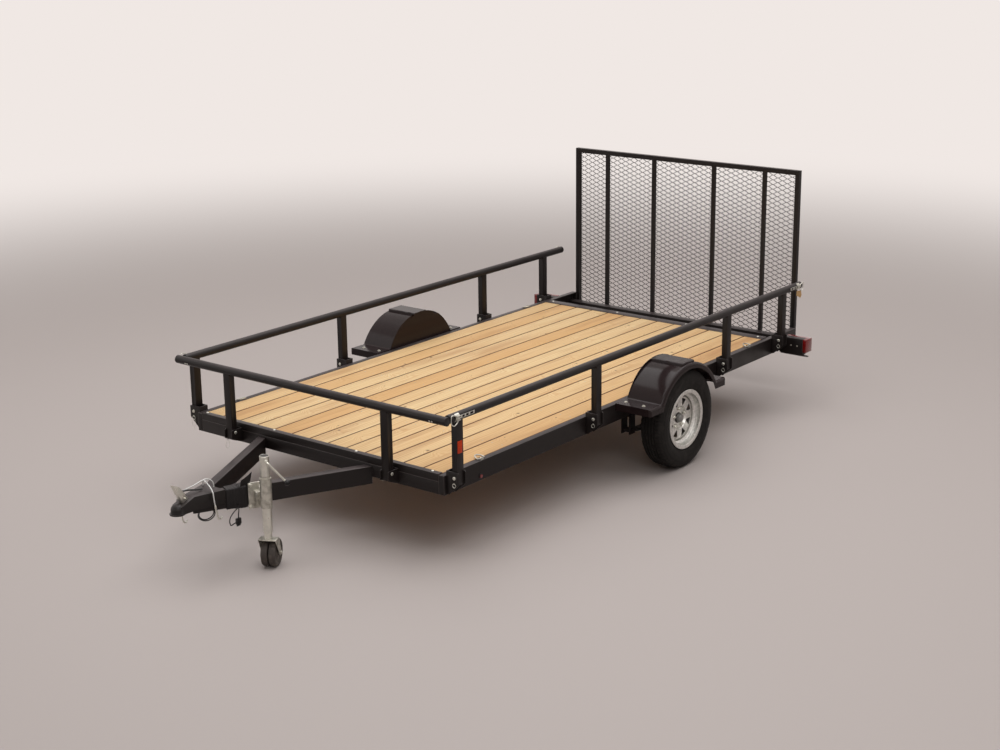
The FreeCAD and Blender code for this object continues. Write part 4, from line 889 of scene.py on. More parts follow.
@dataclass
class SubAssembly:
    """A group of pieces that are made and dressed together."""

    frame: dict[str, Any]
    palette: Palette
    plan: Trailer

    def add(self, piece: bpy.types.Object, body: str, slot: str, *stands_for: str) -> bpy.types.Object:
        """Hand a piece to its body.

        Args:
            piece: The finished piece.
            body: The body that it moves with.
            slot: The record's material slot. Not used.
            *stands_for: CAD nodes that it takes the place of.

        Returns:
            The piece.
        """
        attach(piece, body)
        if stands_for:
            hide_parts(*stands_for)
        LOG.info("%s on %s: %d faces", piece.name, body, len(getattr(piece.data, "polygons", [])))
        return piece

    def put(self, shape: Shape, name: str, look: Look, body: str, slot: str, *stands_for: str,
            angle: float = 35.0) -> bpy.types.Object:
        """Finish a shape as a piece and hand it to its body.

        Args:
            shape: The shape.
            name: The new piece's name.
            look: Its finish.
            body: The body that it moves with.
            slot: The record's material slot.
            *stands_for: CAD nodes that it takes the place of.
            angle: Edges that turn by more degrees than this stay sharp.

        Returns:
            The piece.
        """
        return self.add(shape.piece(name, self.palette[look], angle), body, slot, *stands_for)

    def dress(self, look: Look, *names: str) -> None:
        """Give carried-over CAD nodes a finish.

        Args:
            look: The finish.
            *names: The nodes.
        """
        for name in names:
            materials = self.frame["nodes"][name].data.materials
            materials.clear()
            materials.append(self.palette[look])

    def steel(self, node: str, body: str, width: float) -> bpy.types.Object:
        """Copy a CAD node as coated steel with worn, eased edges."""
        return self.eased(node, body, "frame_paint", Look.FRAME, Look.FRAME_EDGE, width)

    def eased(self, node: str, body: str, slot: str, look: Look, edge: Look,
              width: float) -> bpy.types.Object:
        """Copy a CAD node and ease its edges, as folded or sawn steel has them.

        Args:
            node: The CAD node.
            body: The body that it moves with.
            slot: The record's material slot.
            look: The finish of its faces.
            edge: The finish of its worn edges.
            width: The width of the eased edges.

        Returns:
            The new piece, which stands for the node.
        """
        bm = bmesh.new()
        bm.from_mesh(self.frame["nodes"][node].data)
        bmesh.ops.remove_doubles(bm, verts=bm.verts, dist=2e-5)
        bmesh.ops.dissolve_limit(bm, angle_limit=math.radians(1.0), verts=bm.verts, edges=bm.edges)
        mesh = bpy.data.meshes.new(node + "_eased")
        bm.to_mesh(mesh)
        bm.free()
        mesh.materials.append(self.palette[look])
        mesh.materials.append(self.palette[edge])
        for face in mesh.polygons:
            face.material_index = 0
        made = linked(node + "_eased", mesh)
        ease = made.modifiers.new("eased", "BEVEL")
        ease.width = width
        ease.segments = 2
        ease.limit_method = "ANGLE"
        ease.angle_limit = math.radians(50)
        ease.material = 1
        graph = bpy.context.evaluated_depsgraph_get()
        flat = bpy.data.meshes.new_from_object(made.evaluated_get(graph))
        made.modifiers.clear()
        made.data = flat
        flat.shade_smooth()
        flat.set_sharp_from_angle(angle=SHARP)
        return self.add(made, body, slot, node)

    def set_on(self, name: str, shape: Shape, places: Iterable[tuple[Point, Vector]], look: Look,
               body: str, slot: str, uneven: float = 0.0, *stands_for: str) -> bpy.types.Object:
        """Set copies of a small shape on places with Geometry Nodes.

        Args:
            name: The new piece's name.
            shape: The shape, made about the origin with its foot down.
            places: Each copy's place and the direction of its axis.
            look: The finish.
            body: The body that they move with.
            slot: The record's material slot.
            uneven: The most that a copy is turned about its axis, in radians.
            *stands_for: CAD nodes that they take the place of.

        Returns:
            One piece that holds every copy.
        """
        spots = list(places)
        source = shape.piece(name + "_source", self.palette[look])
        points = bpy.data.meshes.new(name + "_points")
        points.from_pydata([tuple(p) for p, _ in spots], [], [])
        turns = points.attributes.new("turn", "FLOAT_VECTOR", "POINT")
        for item, (_, axis) in zip(turns.data, spots):
            item.vector = axis.normalized().to_track_quat("Z", "Y").to_euler()
        holder = bpy.data.objects.new(name + "_points", points)
        made = evaluated(holder, Repeat(name + "_tree").tree(), {
            "Shape": source, "Size": 1.0, "Uneven Turn": uneven, "Finish": self.palette[look]}, name)
        made.data.shade_smooth()
        made.data.set_sharp_from_angle(angle=SHARP)
        bpy.data.objects.remove(source)
        return self.add(made, body, slot, *stands_for)


def bolt(across: float = 0.017, height: float = 0.0065, washer: float = 0.012,
         shank: float = 0.0) -> Shape:
    """Make a hex bolt with its washer, standing on the origin.

    Args:
        across: The head's width across its flats.
        height: The head's height.
        washer: The washer's radius.
        shank: How far the shank stands out above.

    Returns:
        The bolt.
    """
    made = Shape().lathe([(0.0, washer), (0.0012, washer), (0.0016, washer - 0.0005), (0.0016, 0.001)],
                         (0, 0, 0), UP, 20)
    made.hexagon((0, 0, 0.0014), UP, across, height)
    if shank:
        made.rod((0, 0, height), (0, 0, height + shank), across * 0.28, 12, 0.0006)
    return made


def pan_head(radius: float, height: float) -> Shape:
    """Make a domed screw or rivet head, standing on the origin."""
    profile = [(0.0, 1.0), (0.35, 1.0), (0.8, 0.72), (1.0, 0.3), (1.0, 0.0)]
    return Shape().lathe([(height * up, radius * wide) for up, wide in profile], (0, 0, 0), UP, 14)


@dataclass
class Bed(SubAssembly):
    """The beams, crossmembers, deck boards and tie-downs."""

    boards: int = 13
    half: float = 0.909
    start: float = -1.379
    end: float = 2.048
    top: float = 0.47
    thick: float = 0.038
    gap: float = 0.0038
    arris: float = 0.0055
    cross: tuple[float, ...] = (-0.8255, -0.1855, 0.4545, 1.0945, 1.7345)
    cross_half: float = 0.025
    cover_z: float = 0.475
    rear_cover: float = 2.022
    tie_y: tuple[float, float] = (-1.0555, 1.7745)
    tie_z: float = 0.4765
    tie_lean: float = math.radians(14)

    @property
    def pitch(self) -> float:
        """Give the spacing of the boards."""
        return self.half * 2 / self.boards

    def build(self) -> None:
        """Make and dress the bed."""
        for node in ("side_beam_left", "side_beam_right", "front_channel", "front_angle", "rear_angle",
                     "rear_bar"):
            self.steel(node, "frame", 0.0025)
        self.dress(Look.FRAME, "crossmembers")
        self.deck()
        self.fasteners()
        self.tie_downs()

    def deck(self) -> None:
        """Lay the boards, each with eased long edges."""
        shape = Shape()
        for index in range(self.boards):
            low = -self.half + self.gap / 2 + self.pitch * index
            shape.box((low, self.start, self.top - self.thick),
                      (low + self.pitch - self.gap, self.end, self.top), self.arris)
        self.put(shape, "deck_planks", Look.PINE, "frame", "boards", "deck_boards")

    def fasteners(self) -> None:
        """Set the screws that hold the boards and the cover angles."""
        heads = [((-self.half + self.pitch * (index + share), y + self.cross_half, self.top - 0.0008), UP)
                 for y in self.cross for index in range(self.boards) for share in (0.25, 0.75)]
        self.set_on("deck_screws", pan_head(0.0048, 0.0012), heads, Look.ZINC_WORN, "frame", "zinc", 3.0)
        covers = [((x, y, self.cover_z), UP)
                  for y, row in ((self.plan.front + 0.02, (-0.881, -0.327, 0.305, 0.852)),
                                 (self.rear_cover, (-0.86, -0.29, 0.29, 0.86))) for x in row]
        self.set_on("cover_screws", pan_head(0.008, 0.0045), covers, Look.ZINC, "frame", "zinc", 3.0)

    def tie_downs(self) -> None:
        """Bend the tie-down loops on the beams' flanges, each under its strap."""
        shape = Shape()
        strap = ((-0.012, 0.4735), (-0.004, 0.4798), (0.004, 0.4798), (0.012, 0.4735))
        for side in (-1, 1):
            x = side * (self.plan.beam_half - self.plan.beam_flange / 2 + 0.004)
            lean = Vector((-side * math.cos(self.tie_lean), 0, math.sin(self.tie_lean)))
            for y in self.tie_y:
                shape.box((x - 0.009, y - 0.012, 0.4695), (x + 0.009, y + 0.012, 0.4722), 0.0008)
                shape.tube([(x, y + along, z) for along, z in strap], 0.004, 10, 2, flat=0.6)
                bow = [Vector((x + side * 0.001, y + end, self.tie_z)) for end in (-0.029, 0.029)]
                for a in (math.pi * k / 8 for k in range(9)):
                    foot = Vector((x, y + 0.027 * math.cos(a), self.tie_z))
                    bow.append(foot + lean * (0.006 + 0.034 * math.sin(a)))
                shape.tube(bow, 0.0036, 12, 1, closed=True)
        self.put(shape, "tie_loops", Look.ZINC_WORN, "frame", "zinc", "tie_downs")


@dataclass
class Tongue(SubAssembly):
    """The tongue's arms and the ball coupler with its lever."""

    arm_start: float = 0.44
    arm_slope: float = 0.48773
    tail: float = -2.1305
    pivot: tuple[float, float] = (-2.345, 0.428)
    pivot_half: float = 0.02
    weld_off: float = 0.0055

    def build(self) -> None:
        """Make and dress the tongue."""
        for side, _ in SIDES:
            self.steel("tongue_arm_" + side, "frame", 0.004)
        self.eased("coupler", "frame", "coupler_paint", Look.COUPLER, Look.FRAME_EDGE, 0.0018)
        self.eased("coupler_lever", "frame", "zinc", Look.ZINC, Look.ZINC, 0.0006)
        self.lever_fittings()
        self.seams()

    def lever_fittings(self) -> None:
        """Add the lever's pivot and its trigger, a dipped finger that lies back over the coupler."""
        pin = Shape().rod((-self.pivot_half, *self.pivot), (self.pivot_half, *self.pivot), 0.005, 16, 0.001)
        self.put(pin, "lever_pivot", Look.ZINC, "frame", "zinc")
        finger = Shape().tube([
            (-0.012, -2.205, 0.4345), (-0.014, -2.235, 0.4375), (-0.018, -2.28, 0.449),
            (-0.0195, -2.318, 0.4555), (-0.019, -2.342, 0.4565)], 0.0062, 14, 2, flat=0.7)
        self.put(finger, "lever_trigger", Look.BLACK_PLASTIC, "frame", "coupler_paint")

    def seams(self) -> None:
        """Run the weld beads between the coupler's tail, the arms and the front channel."""
        lean = self.plan.arm_angle
        shape = Shape()
        for side in (-1, 1):
            out = Vector((side * math.cos(lean), -math.sin(lean), 0)) * self.weld_off
            reach = self.arm_start + self.arm_slope * (self.tail - self.plan.front)
            tail = Vector((side * reach, self.tail + 0.001, 0)) + out
            root = Vector((side * (self.arm_start - 0.0015), self.plan.front - 0.0015, 0))
            for place, low, high, radius in ((tail, 0.356, 0.392, 0.0028), (root, 0.362, 0.420, 0.0035)):
                shape.tube(self.bead(place + UP * low, place + UP * high), radius, 8)
        self.put(shape, "tongue_welds", Look.FRAME, "frame", "frame_paint", angle=60)

    def bead(self, start: Vector, end: Vector, step: float = 0.004, uneven: float = 0.0006) -> list[Vector]:
        """Give a weld bead's line, uneven as a hand-run bead is.

        Args:
            start: Its first point.
            end: Its last point.
            step: The spacing of its points.
            uneven: How far they lie off the straight line.

        Returns:
            The points.
        """
        count = max(6, int((end - start).length / step))
        return [start.lerp(end, k / count) + Vector((math.sin(k * 2.1), math.cos(k * 1.7), 0)) * uneven
                for k in range(count + 1)]


@dataclass
class RunningGear(SubAssembly):
    """The tyres, rims and hubs."""

    track: float = 1.101
    tread: float = 0.305
    lugs: int = 5
    lug_circle: float = 0.057
    blocks: int = 68
    steps: int = 7

    def build(self) -> None:
        """Make and dress both wheels, the axle and the springs."""
        for side, sign in SIDES:
            centre = Vector((sign * self.track, *self.plan.axle))
            out = Vector((sign, 0, 0))
            self.tyre(side, centre)
            self.hub(side, centre, out)
            self.nuts(side, centre, out)
            self.dress(Look.GALVANISED, "rim_" + side)
        self.dress(Look.FRAME, "axle", "leaf_springs", "spring_hangers", "axle_clamps")

    def tyre(self, side: str, centre: Vector) -> None:
        """Turn a tyre with ribs, grooves, shoulder blocks and ringed sidewalls.

        Args:
            side: The side of the trailer.
            centre: The wheel's centre.
        """
        drops = [(0.0, 0.0015), (0.0075, 0.0015), (0.0085, 0.0075), (0.0125, 0.0075), (0.0135, 0.0017),
                 (0.0285, 0.0021), (0.0295, 0.0080), (0.0345, 0.0080), (0.0355, 0.0025), (0.050, 0.0033),
                 (0.0575, 0.0041), (0.0635, 0.0077), (0.0682, 0.0140), (0.0715, 0.0235), (0.0722, 0.0240),
                 (0.0745, 0.0325), (0.0775, 0.0465), (0.0787, 0.0470), (0.0795, 0.0595), (0.0787, 0.0715),
                 (0.0795, 0.0720), (0.0790, 0.0775), (0.0780, 0.0780), (0.0755, 0.0915), (0.0710, 0.1055),
                 (0.0700, 0.1060), (0.0665, 0.1145), (0.0640, 0.1230), (0.0640, 0.1400)]
        half = [(along, self.tread - drop) for along, drop in drops]
        profile = [(-along, radius) for along, radius in reversed(half[1:])] + half
        shoulders = {i for i, (along, _) in enumerate(profile) if 0.040 < abs(along) < 0.0695}
        ribs = {i for i, (along, _) in enumerate(profile) if 0.0135 <= abs(along) < 0.0290}

        def swell(angle: float, index: int) -> float:
            """Cut the slots between the tread's blocks.

            Args:
                angle: The angle round the axle.
                index: The profile's point number.

            Returns:
                What is added to the radius.
            """
            turn = angle / math.tau * self.blocks
            if index in shoulders:
                return -0.0042 if turn % 1.0 > 0.72 else 0.0
            if index in ribs:
                return -0.0030 if (turn + 0.5) % 1.0 > 0.84 else 0.0
            return 0.0

        shape = Shape().lathe(profile, centre, Vector((1, 0, 0)), self.blocks * self.steps, swell, True)
        self.put(shape, "tyre_tread_" + side, Look.TYRE, "wheel_" + side, "tyre_rubber", "tyre_" + side,
                 angle=42)

    def hub(self, side: str, centre: Vector, out: Vector) -> None:
        """Turn the hub with its dust cap, and the rolled edges of the rim.

        Args:
            side: The side of the trailer.
            centre: The wheel's centre.
            out: The axle's direction.
        """
        wheel = "wheel_" + side
        body = Shape().lathe([
            (-0.052, 0.0165), (-0.052, 0.031), (-0.010, 0.033), (-0.008, 0.062), (0.004, 0.062),
            (0.004, 0.0325), (0.013, 0.0315), (0.0145, 0.0265), (0.0145, 0.0)], centre, out, 40)
        self.put(body, "hub_cast_" + side, Look.HUB, wheel, "zinc", "hub_" + side)
        cap = Shape().lathe([
            (0.0142, 0.0262), (0.016, 0.0262), (0.0165, 0.025), (0.029, 0.0247), (0.0345, 0.0225),
            (0.0365, 0.018), (0.0378, 0.0)], centre, out, 36)
        self.put(cap, "dust_cap_" + side, Look.CAP, wheel, "zinc")
        lip = ((0.0655, 0.1612), (0.0675, 0.1608), (0.0695, 0.1640), (0.0702, 0.1750), (0.0712, 0.1830),
               (0.0698, 0.1846), (0.0672, 0.1842), (0.0660, 0.1800), (0.0655, 0.1700))
        well = ((0.0480, 0.1611), (0.0500, 0.1590), (0.0460, 0.1572), (0.0380, 0.1566), (0.0345, 0.1548),
                (0.0325, 0.1520), (0.0300, 0.1512), (0.0290, 0.1560), (0.0320, 0.1605))
        rolled = Shape()
        for face in (1, -1):
            for roll in (lip, well):
                rolled.lathe([(face * along, radius) for along, radius in roll], centre, out, 96, closed=True)
        self.put(rolled, "rim_rolls_" + side, Look.GALVANISED, wheel, "galvanised", angle=30)

    def nuts(self, side: str, centre: Vector, out: Vector) -> None:
        """Set the wheel nuts on their studs.

        Args:
            side: The side of the trailer.
            centre: The wheel's centre.
            out: The axle's direction.
        """
        nut = Shape().lathe([(0.0, 0.0085), (0.0035, 0.0105), (0.0035, 0.0)], (0, 0, 0), UP, 18)
        nut.hexagon((0, 0, 0.003), UP, 0.0175, 0.0105)
        nut.rod((0, 0, 0.012), (0, 0, 0.0195), 0.0055, 12, 0.001)
        places = hoop(centre + out * 0.0085, UP * self.lug_circle, Vector((0, self.lug_circle, 0)), self.lugs)
        self.set_on("wheel_nuts_" + side, nut, [(place, out) for place in places], Look.ZINC,
                    "wheel_" + side, "zinc", 1.0)


@dataclass
class Fenders(SubAssembly):
    """The moulded fenders and their bolts."""

    arch_top: float = 0.66
    arc: tuple[float, float] = (28, 124)
    steps: int = 40
    lip: float = 0.012
    lip_x: float = 0.9472
    crown: float = 0.010
    crown_half: float = 0.064
    crown_flare: float = 0.006
    crown_wide: float = 0.2305

    def build(self) -> None:
        """Dress the fenders, add their lips and crowns and set their bolts."""
        self.dress(Look.FENDER, "fender_left", "fender_right")
        for side, sign in SIDES:
            self.turned_lip(side, sign)
            self.raised_crown(side, sign)
        places = [((side * x, y, 0.475), UP) for side in (-1, 1)
                  for x, y in ((0.985, 0.25), (1.115, 0.245), (0.985, 0.99), (1.115, 0.99))]
        self.set_on("fender_bolts", bolt(0.013, 0.005, 0.0115), places, Look.ZINC_WORN, "frame", "zinc", 1.0)

    def turned_lip(self, side: str, sign: int) -> None:
        """Turn up the flange along a fender's inner edge.

        Args:
            side: The side of the trailer.
            sign: 1 on the left and -1 on the right.
        """
        (y, z), (start, sweep), last = self.plan.axle, self.arc, self.steps
        reach = self.arch_top - z
        shape = Shape()
        rims: tuple[list[Point], list[Point]] = ([], [])
        for k in range(last + 1):
            angle = math.radians(start + sweep * k / last)
            lift = self.lip * min(1.0, 4.0 * min(k, last - k) / last)
            for rim, radius in zip(rims, (reach + lift, reach - 0.002)):
                rim.append((sign * self.lip_x, y + radius * math.cos(angle), z + radius * math.sin(angle)))
        outer, inner = rims
        for k in range(last):
            shape.slab([outer[k], outer[k + 1], inner[k + 1], inner[k]], Vector((sign * 0.003, 0, 0)))
        bmesh.ops.remove_doubles(shape.bm, verts=shape.bm.verts, dist=1e-6)
        self.put(shape, "fender_lip_" + side, Look.FENDER, "frame", "fender_plastic")

    def raised_crown(self, side: str, sign: int) -> None:
        """Raise the flat panel on top of a fender.

        Args:
            side: The side of the trailer.
            sign: 1 on the left and -1 on the right.
        """
        y, z = self.plan.axle
        reach, half = self.arch_top - z, self.crown_half
        foot = half + self.crown_flare
        low, high = z + math.sqrt(reach ** 2 - foot ** 2) - 0.003, z + reach + self.crown
        panel = [(sign * 0.9468, y + along, up) for along, up in ((-foot, low), (-half, high), (half, high),
                                                                  (foot, low))]
        raised = Shape().slab(panel, Vector((sign * self.crown_wide, 0, 0)), 0.0045)
        self.put(raised, "fender_crown_" + side, Look.FENDER, "frame", "fender_plastic")


@dataclass
class Rails(SubAssembly):
    """The folding rails with their posts, brackets, bolts, pins and latches."""

    wired: float = -0.5
    ends: tuple[float, float] = (-1.4065, 2.3145)
    front_half: float = 1.0205
    bolt_half: float = 0.031
    ring: float = 0.011
    pin_drop: float = 0.029
    bail: float = 0.027
    saddle: float = 62
    saddle_long: float = 0.034
    reflector: tuple[float, float, float, float] = (-1.3585, -1.3205, 0.600, 0.668)
    rivets: tuple[float, ...] = (-0.938, -0.921, 0.921, 0.938)

    def build(self) -> None:
        """Make and dress the rails."""
        for side, _ in SIDES:
            self.steel("side_posts_" + side, "rail_" + side, 0.0035)
        self.steel("front_posts", "rail_front", 0.0035)
        self.dress(Look.FRAME, "side_rail_left", "side_rail_right", "front_rail")
        for node in ("side_brackets", "front_brackets"):
            self.steel(node, "frame", 0.0012)
        self.bolts()
        self.pins()
        self.latches()
        self.reflectors()
        self.caps()

    def spots(self) -> list[tuple[Vector, Vector]]:
        """List each post's pivot and the direction of its bolt.

        Returns:
            The side posts, right ones first, then the front posts.
        """
        plan = self.plan
        made = [(Vector((side * plan.rail_x, y, plan.pivot_z)), Vector((0, 1, 0)))
                for side in (-1, 1) for y in plan.posts]
        return made + [(Vector((x, plan.rail_y, plan.front_pivot_z)), Vector((1, 0, 0)))
                       for x in plan.front_posts]

    def bolts(self) -> None:
        """Set the bolts that the posts turn on."""
        places = []
        rods = Shape()
        for spot, axis in self.spots():
            ends = [(spot + axis * sign * self.bolt_half, axis * sign) for sign in (-1, 1)]
            rods.rod(ends[0][0], ends[1][0], 0.005, 12)
            places += ends
        self.put(rods, "pivot_shanks", Look.ZINC, "frame", "zinc", "pivot_bolts")
        self.set_on("pivot_heads", bolt(0.016, 0.0045, 0.0098), places, Look.ZINC, "frame", "zinc", 1.0)

    def pins(self) -> None:
        """Bend the ringed lock pins, with wire bails on those of the trailer's right half."""
        shape = Shape()
        for number, (spot, axis) in enumerate(self.spots()):
            base = spot - UP * self.pin_drop
            out = -axis
            shape.rod(base + out * 0.0262, base + out * 0.0368, 0.004, 12, 0.0008)
            middle = base + out * 0.0335 - UP * self.ring
            side = axis.cross(UP)
            shape.tube(hoop(middle, side * self.ring, UP * self.ring), 0.0014, 8, closed=True)
            if spot.x > self.wired:
                continue
            drop = side * (0.35 * math.sin(number * 2.4)) - UP
            across = (side - drop * side.dot(drop) / drop.length_squared).normalized()
            down = drop.normalized() * self.bail
            hang = middle + out * 0.002 - UP * 0.010 + down
            bail = hoop(hang, across * 0.013, down, 28)
            twist = [out * (0.004 * math.sin(2 * math.tau * k / 28)) for k in range(28)]
            shape.tube([a + b for a, b in zip(bail, twist)], 0.0009, 6, closed=True)
        self.put(shape, "lock_pin_rings", Look.ZINC, "frame", "zinc", "lock_pins")

    def latches(self) -> None:
        """Fold the over-centre latches at the rails' ends, with the tag on one."""
        plan = self.plan
        for side, sign in SIDES:
            shape = Shape()
            for end, ahead in zip(self.ends, (1, -1)):
                self.latch(shape, sign, end, ahead)
            self.put(shape, "toggle_latches_" + side, Look.ZINC, "rail_" + side, "zinc", "latches_" + side)
        x, z = plan.rail_x + plan.rail_radius + 0.004, plan.rail_z
        tag = Shape().slab([
            (x, 2.232, z - 0.022), (x, 2.286, z - 0.030), (x, 2.300, z - 0.062), (x, 2.282, z - 0.080),
            (x, 2.225, z - 0.052)], Vector((0.0014, 0, 0)), 0.0004)
        self.put(tag, "latch_tag", Look.TAG, "rail_left", "zinc")

    def latch(self, shape: Shape, sign: int, end: float, ahead: int) -> None:
        """Add one draw latch: saddle, wire hook round the rail's end and perforated lever.

        Args:
            shape: The mesh that it goes into.
            sign: The side of the trailer.
            end: The rail's end that it hooks over.
            ahead: The direction from the rail's end back along the rail.
        """
        plan = self.plan
        z, face = plan.rail_z, plan.rail_x + plan.rail_radius

        def at(x: float, along: float, up: float) -> Vector:
            """Give a place from the rail's outer face, its end and its middle."""
            return Vector((sign * (face + x), end + ahead * along, z + up))

        angles = [math.radians(-self.saddle + self.saddle * k / 5) for k in range(11)]
        arc = [(plan.rail_radius + 0.0014, a) for a in angles]
        arc += [(plan.rail_radius + 0.0002, a) for a in reversed(angles)]
        start = ahead * self.saddle_long
        saddle = [Vector((sign * (plan.rail_x + r * math.cos(a)), end + start, z + r * math.sin(a)))
                  for r, a in arc]
        shape.slab(saddle, Vector((0, start, 0)))
        hook = ((0.004, 0.052, 0.009), (0.005, 0.030, 0.017), (0.004, 0.002, 0.026), (0.002, -0.006, 0.018),
                (0.001, -0.006, -0.018), (0.003, 0.004, -0.031), (0.004, 0.018, -0.036),
                (0.005, 0.040, -0.024), (0.004, 0.052, -0.009))
        shape.tube([at(*p) for p in hook], 0.0026, 8, 2)
        cheeks = [((0.0005, 0.034, low), (0.0085, 0.066, low + 0.003)) for low in (0.0095, -0.0125)]
        strips = [((0.0075, 0.036, low), (0.0095, 0.176, high))
                  for low, high in ((0.0122, 0.0140), (-0.0025, -0.0010))]
        for low, high in cheeks + strips:
            shape.box(at(*low), at(*high), 0.0006)
        for low, high in ((0.036, 0.046), (0.066, 0.076), (0.096, 0.106), (0.128, 0.140), (0.166, 0.176)):
            shape.box(at(0.0076, low, -0.002), at(0.0094, high, 0.0135), 0.0003)
        shape.rod(at(0.0095, 0.058, 0.003), at(0.0115, 0.058, 0.003), 0.004, 12, 0.0006)

    def reflectors(self) -> None:
        """Set the reflectors on the first side posts' outer faces."""
        start, end, low, high = self.reflector
        for side, sign in SIDES:
            shape = Shape().box((sign * (self.plan.rail_x + 0.0188), start, low),
                                (sign * (self.plan.rail_x + 0.0215), end, high), 0.0012)
            self.put(shape, "post_reflector_" + side, Look.REFLECTOR, "rail_" + side, "red_lens")

    def caps(self) -> None:
        """Close the tubes' ends with pressed caps, and set the front rail's rivets."""
        plan = self.plan
        rails = [("rail_caps_" + side, "rail_" + side,
                  [((sign * plan.rail_x, end, plan.rail_z), Vector((0, out, 0)))
                   for end, out in zip(reversed(self.ends), (1, -1))]) for side, sign in SIDES]
        rails.append(("front_rail_caps", "rail_front",
                      [((out * self.front_half, plan.rail_y, plan.rail_z), Vector((out, 0, 0)))
                       for out in (-1, 1)]))
        profile = [(-0.004, 0.0225), (0.0, 0.0238), (0.0028, 0.0225), (0.0044, 0.017), (0.005, 0.0)]
        for name, body, ends in rails:
            shape = Shape()
            for place, out in ends:
                shape.lathe(profile, place, out, 28)
            self.put(shape, name, Look.BLACK_PLASTIC, body, "frame_paint")
        lean = Vector((0, -0.92, -0.39)).normalized()
        spots = [(Vector((x, plan.rail_y, plan.rail_z)) + lean * 0.0236, lean) for x in self.rivets]
        self.set_on("rail_rivets", pan_head(0.005, 0.0028), spots, Look.ZINC, "rail_front", "zinc")


@dataclass
class Gate(SubAssembly):
    """The ramp gate with its expanded mesh, hinges and lugs."""

    mesh: ExpandedMetal = field(default_factory=ExpandedMetal)
    y: float = 2.425
    foot: float = 0.3775

    def build(self) -> None:
        """Make and dress the gate."""
        self.steel("gate_frame", "gate", 0.002)
        self.dress(Look.FRAME, "gate_lugs")
        sizes = self.mesh
        holder = bpy.data.objects.new("gate_mesh_holder", bpy.data.meshes.new("gate_mesh_holder"))
        made = evaluated(holder, sizes.tree(), {
            "Corner": (-sizes.across * sizes.columns / 8, self.y, self.foot), "Pitch Across": sizes.across,
            "Pitch Up": sizes.up, "Columns": sizes.columns + 1, "Rows": sizes.rows,
            "Strand Width": sizes.strand, "Strand Thickness": sizes.thick,
            "Finish": self.palette[Look.MESH]}, "expanded_mesh")
        self.add(made, "gate", "frame_paint", "gate_mesh")


@dataclass
class Lamps(SubAssembly):
    """The tail lamps, side markers and their screws."""

    bolts: tuple[float, float] = (1.033, 1.079)
    bolt_y: float = 2.1695
    bolt_z: float = 0.41
    strap: tuple[float, float] = (0.985, 1.125)
    strap_y: tuple[float, float] = (2.169, 2.196)
    strap_z: tuple[float, float] = (0.3450, 0.3500)
    loops: tuple[float, float] = (0.972, 1.138)
    marker: tuple[float, float, float] = (0.946, -1.0825, 0.385)

    def build(self) -> None:
        """Make and dress the lamps."""
        self.steel("tail_lamp_boxes", "frame", 0.002)
        self.eased("tail_lamp_lenses", "frame", "red_lens", Look.RED, Look.RED, 0.003)
        self.dress(Look.RED, "side_markers")
        spots = [((sign * x, self.bolt_y, self.bolt_z), Vector((0, -1, 0)))
                 for sign in (-1, 1) for x in self.bolts]
        self.set_on("lamp_bolts", pan_head(0.0055, 0.0028), spots, Look.ZINC_WORN, "frame", "zinc", 1.0)
        strap, bezel = Shape(), Shape()
        x, y, z = self.marker
        back, front = self.strap_y
        low, high = self.strap_z
        for sign in (-1, 1):
            start, end = (sign * place for place in self.strap)
            strap.box((start, back, low), (end, front, high), 0.0006)
            for place in self.loops:
                middle = Vector((sign * place, (back + front) / 2, (low + high) / 2))
                strap.tube(hoop(middle, Vector((0.019, 0, 0)), Vector((0, 0.011, 0))), 0.004, 8, closed=True,
                           flat=0.7)
            bezel.lathe([(0.0, 0.0135), (0.004, 0.0132), (0.0055, 0.0115), (0.0055, 0.0098), (0.0, 0.0098)],
                        (sign * x, y, z), Vector((sign, 0, 0)), 28, closed=True)
        self.put(strap, "lamp_straps", Look.FRAME, "frame", "frame_paint")
        self.put(bezel, "marker_bezels", Look.BLACK_PLASTIC, "frame", "frame_paint")


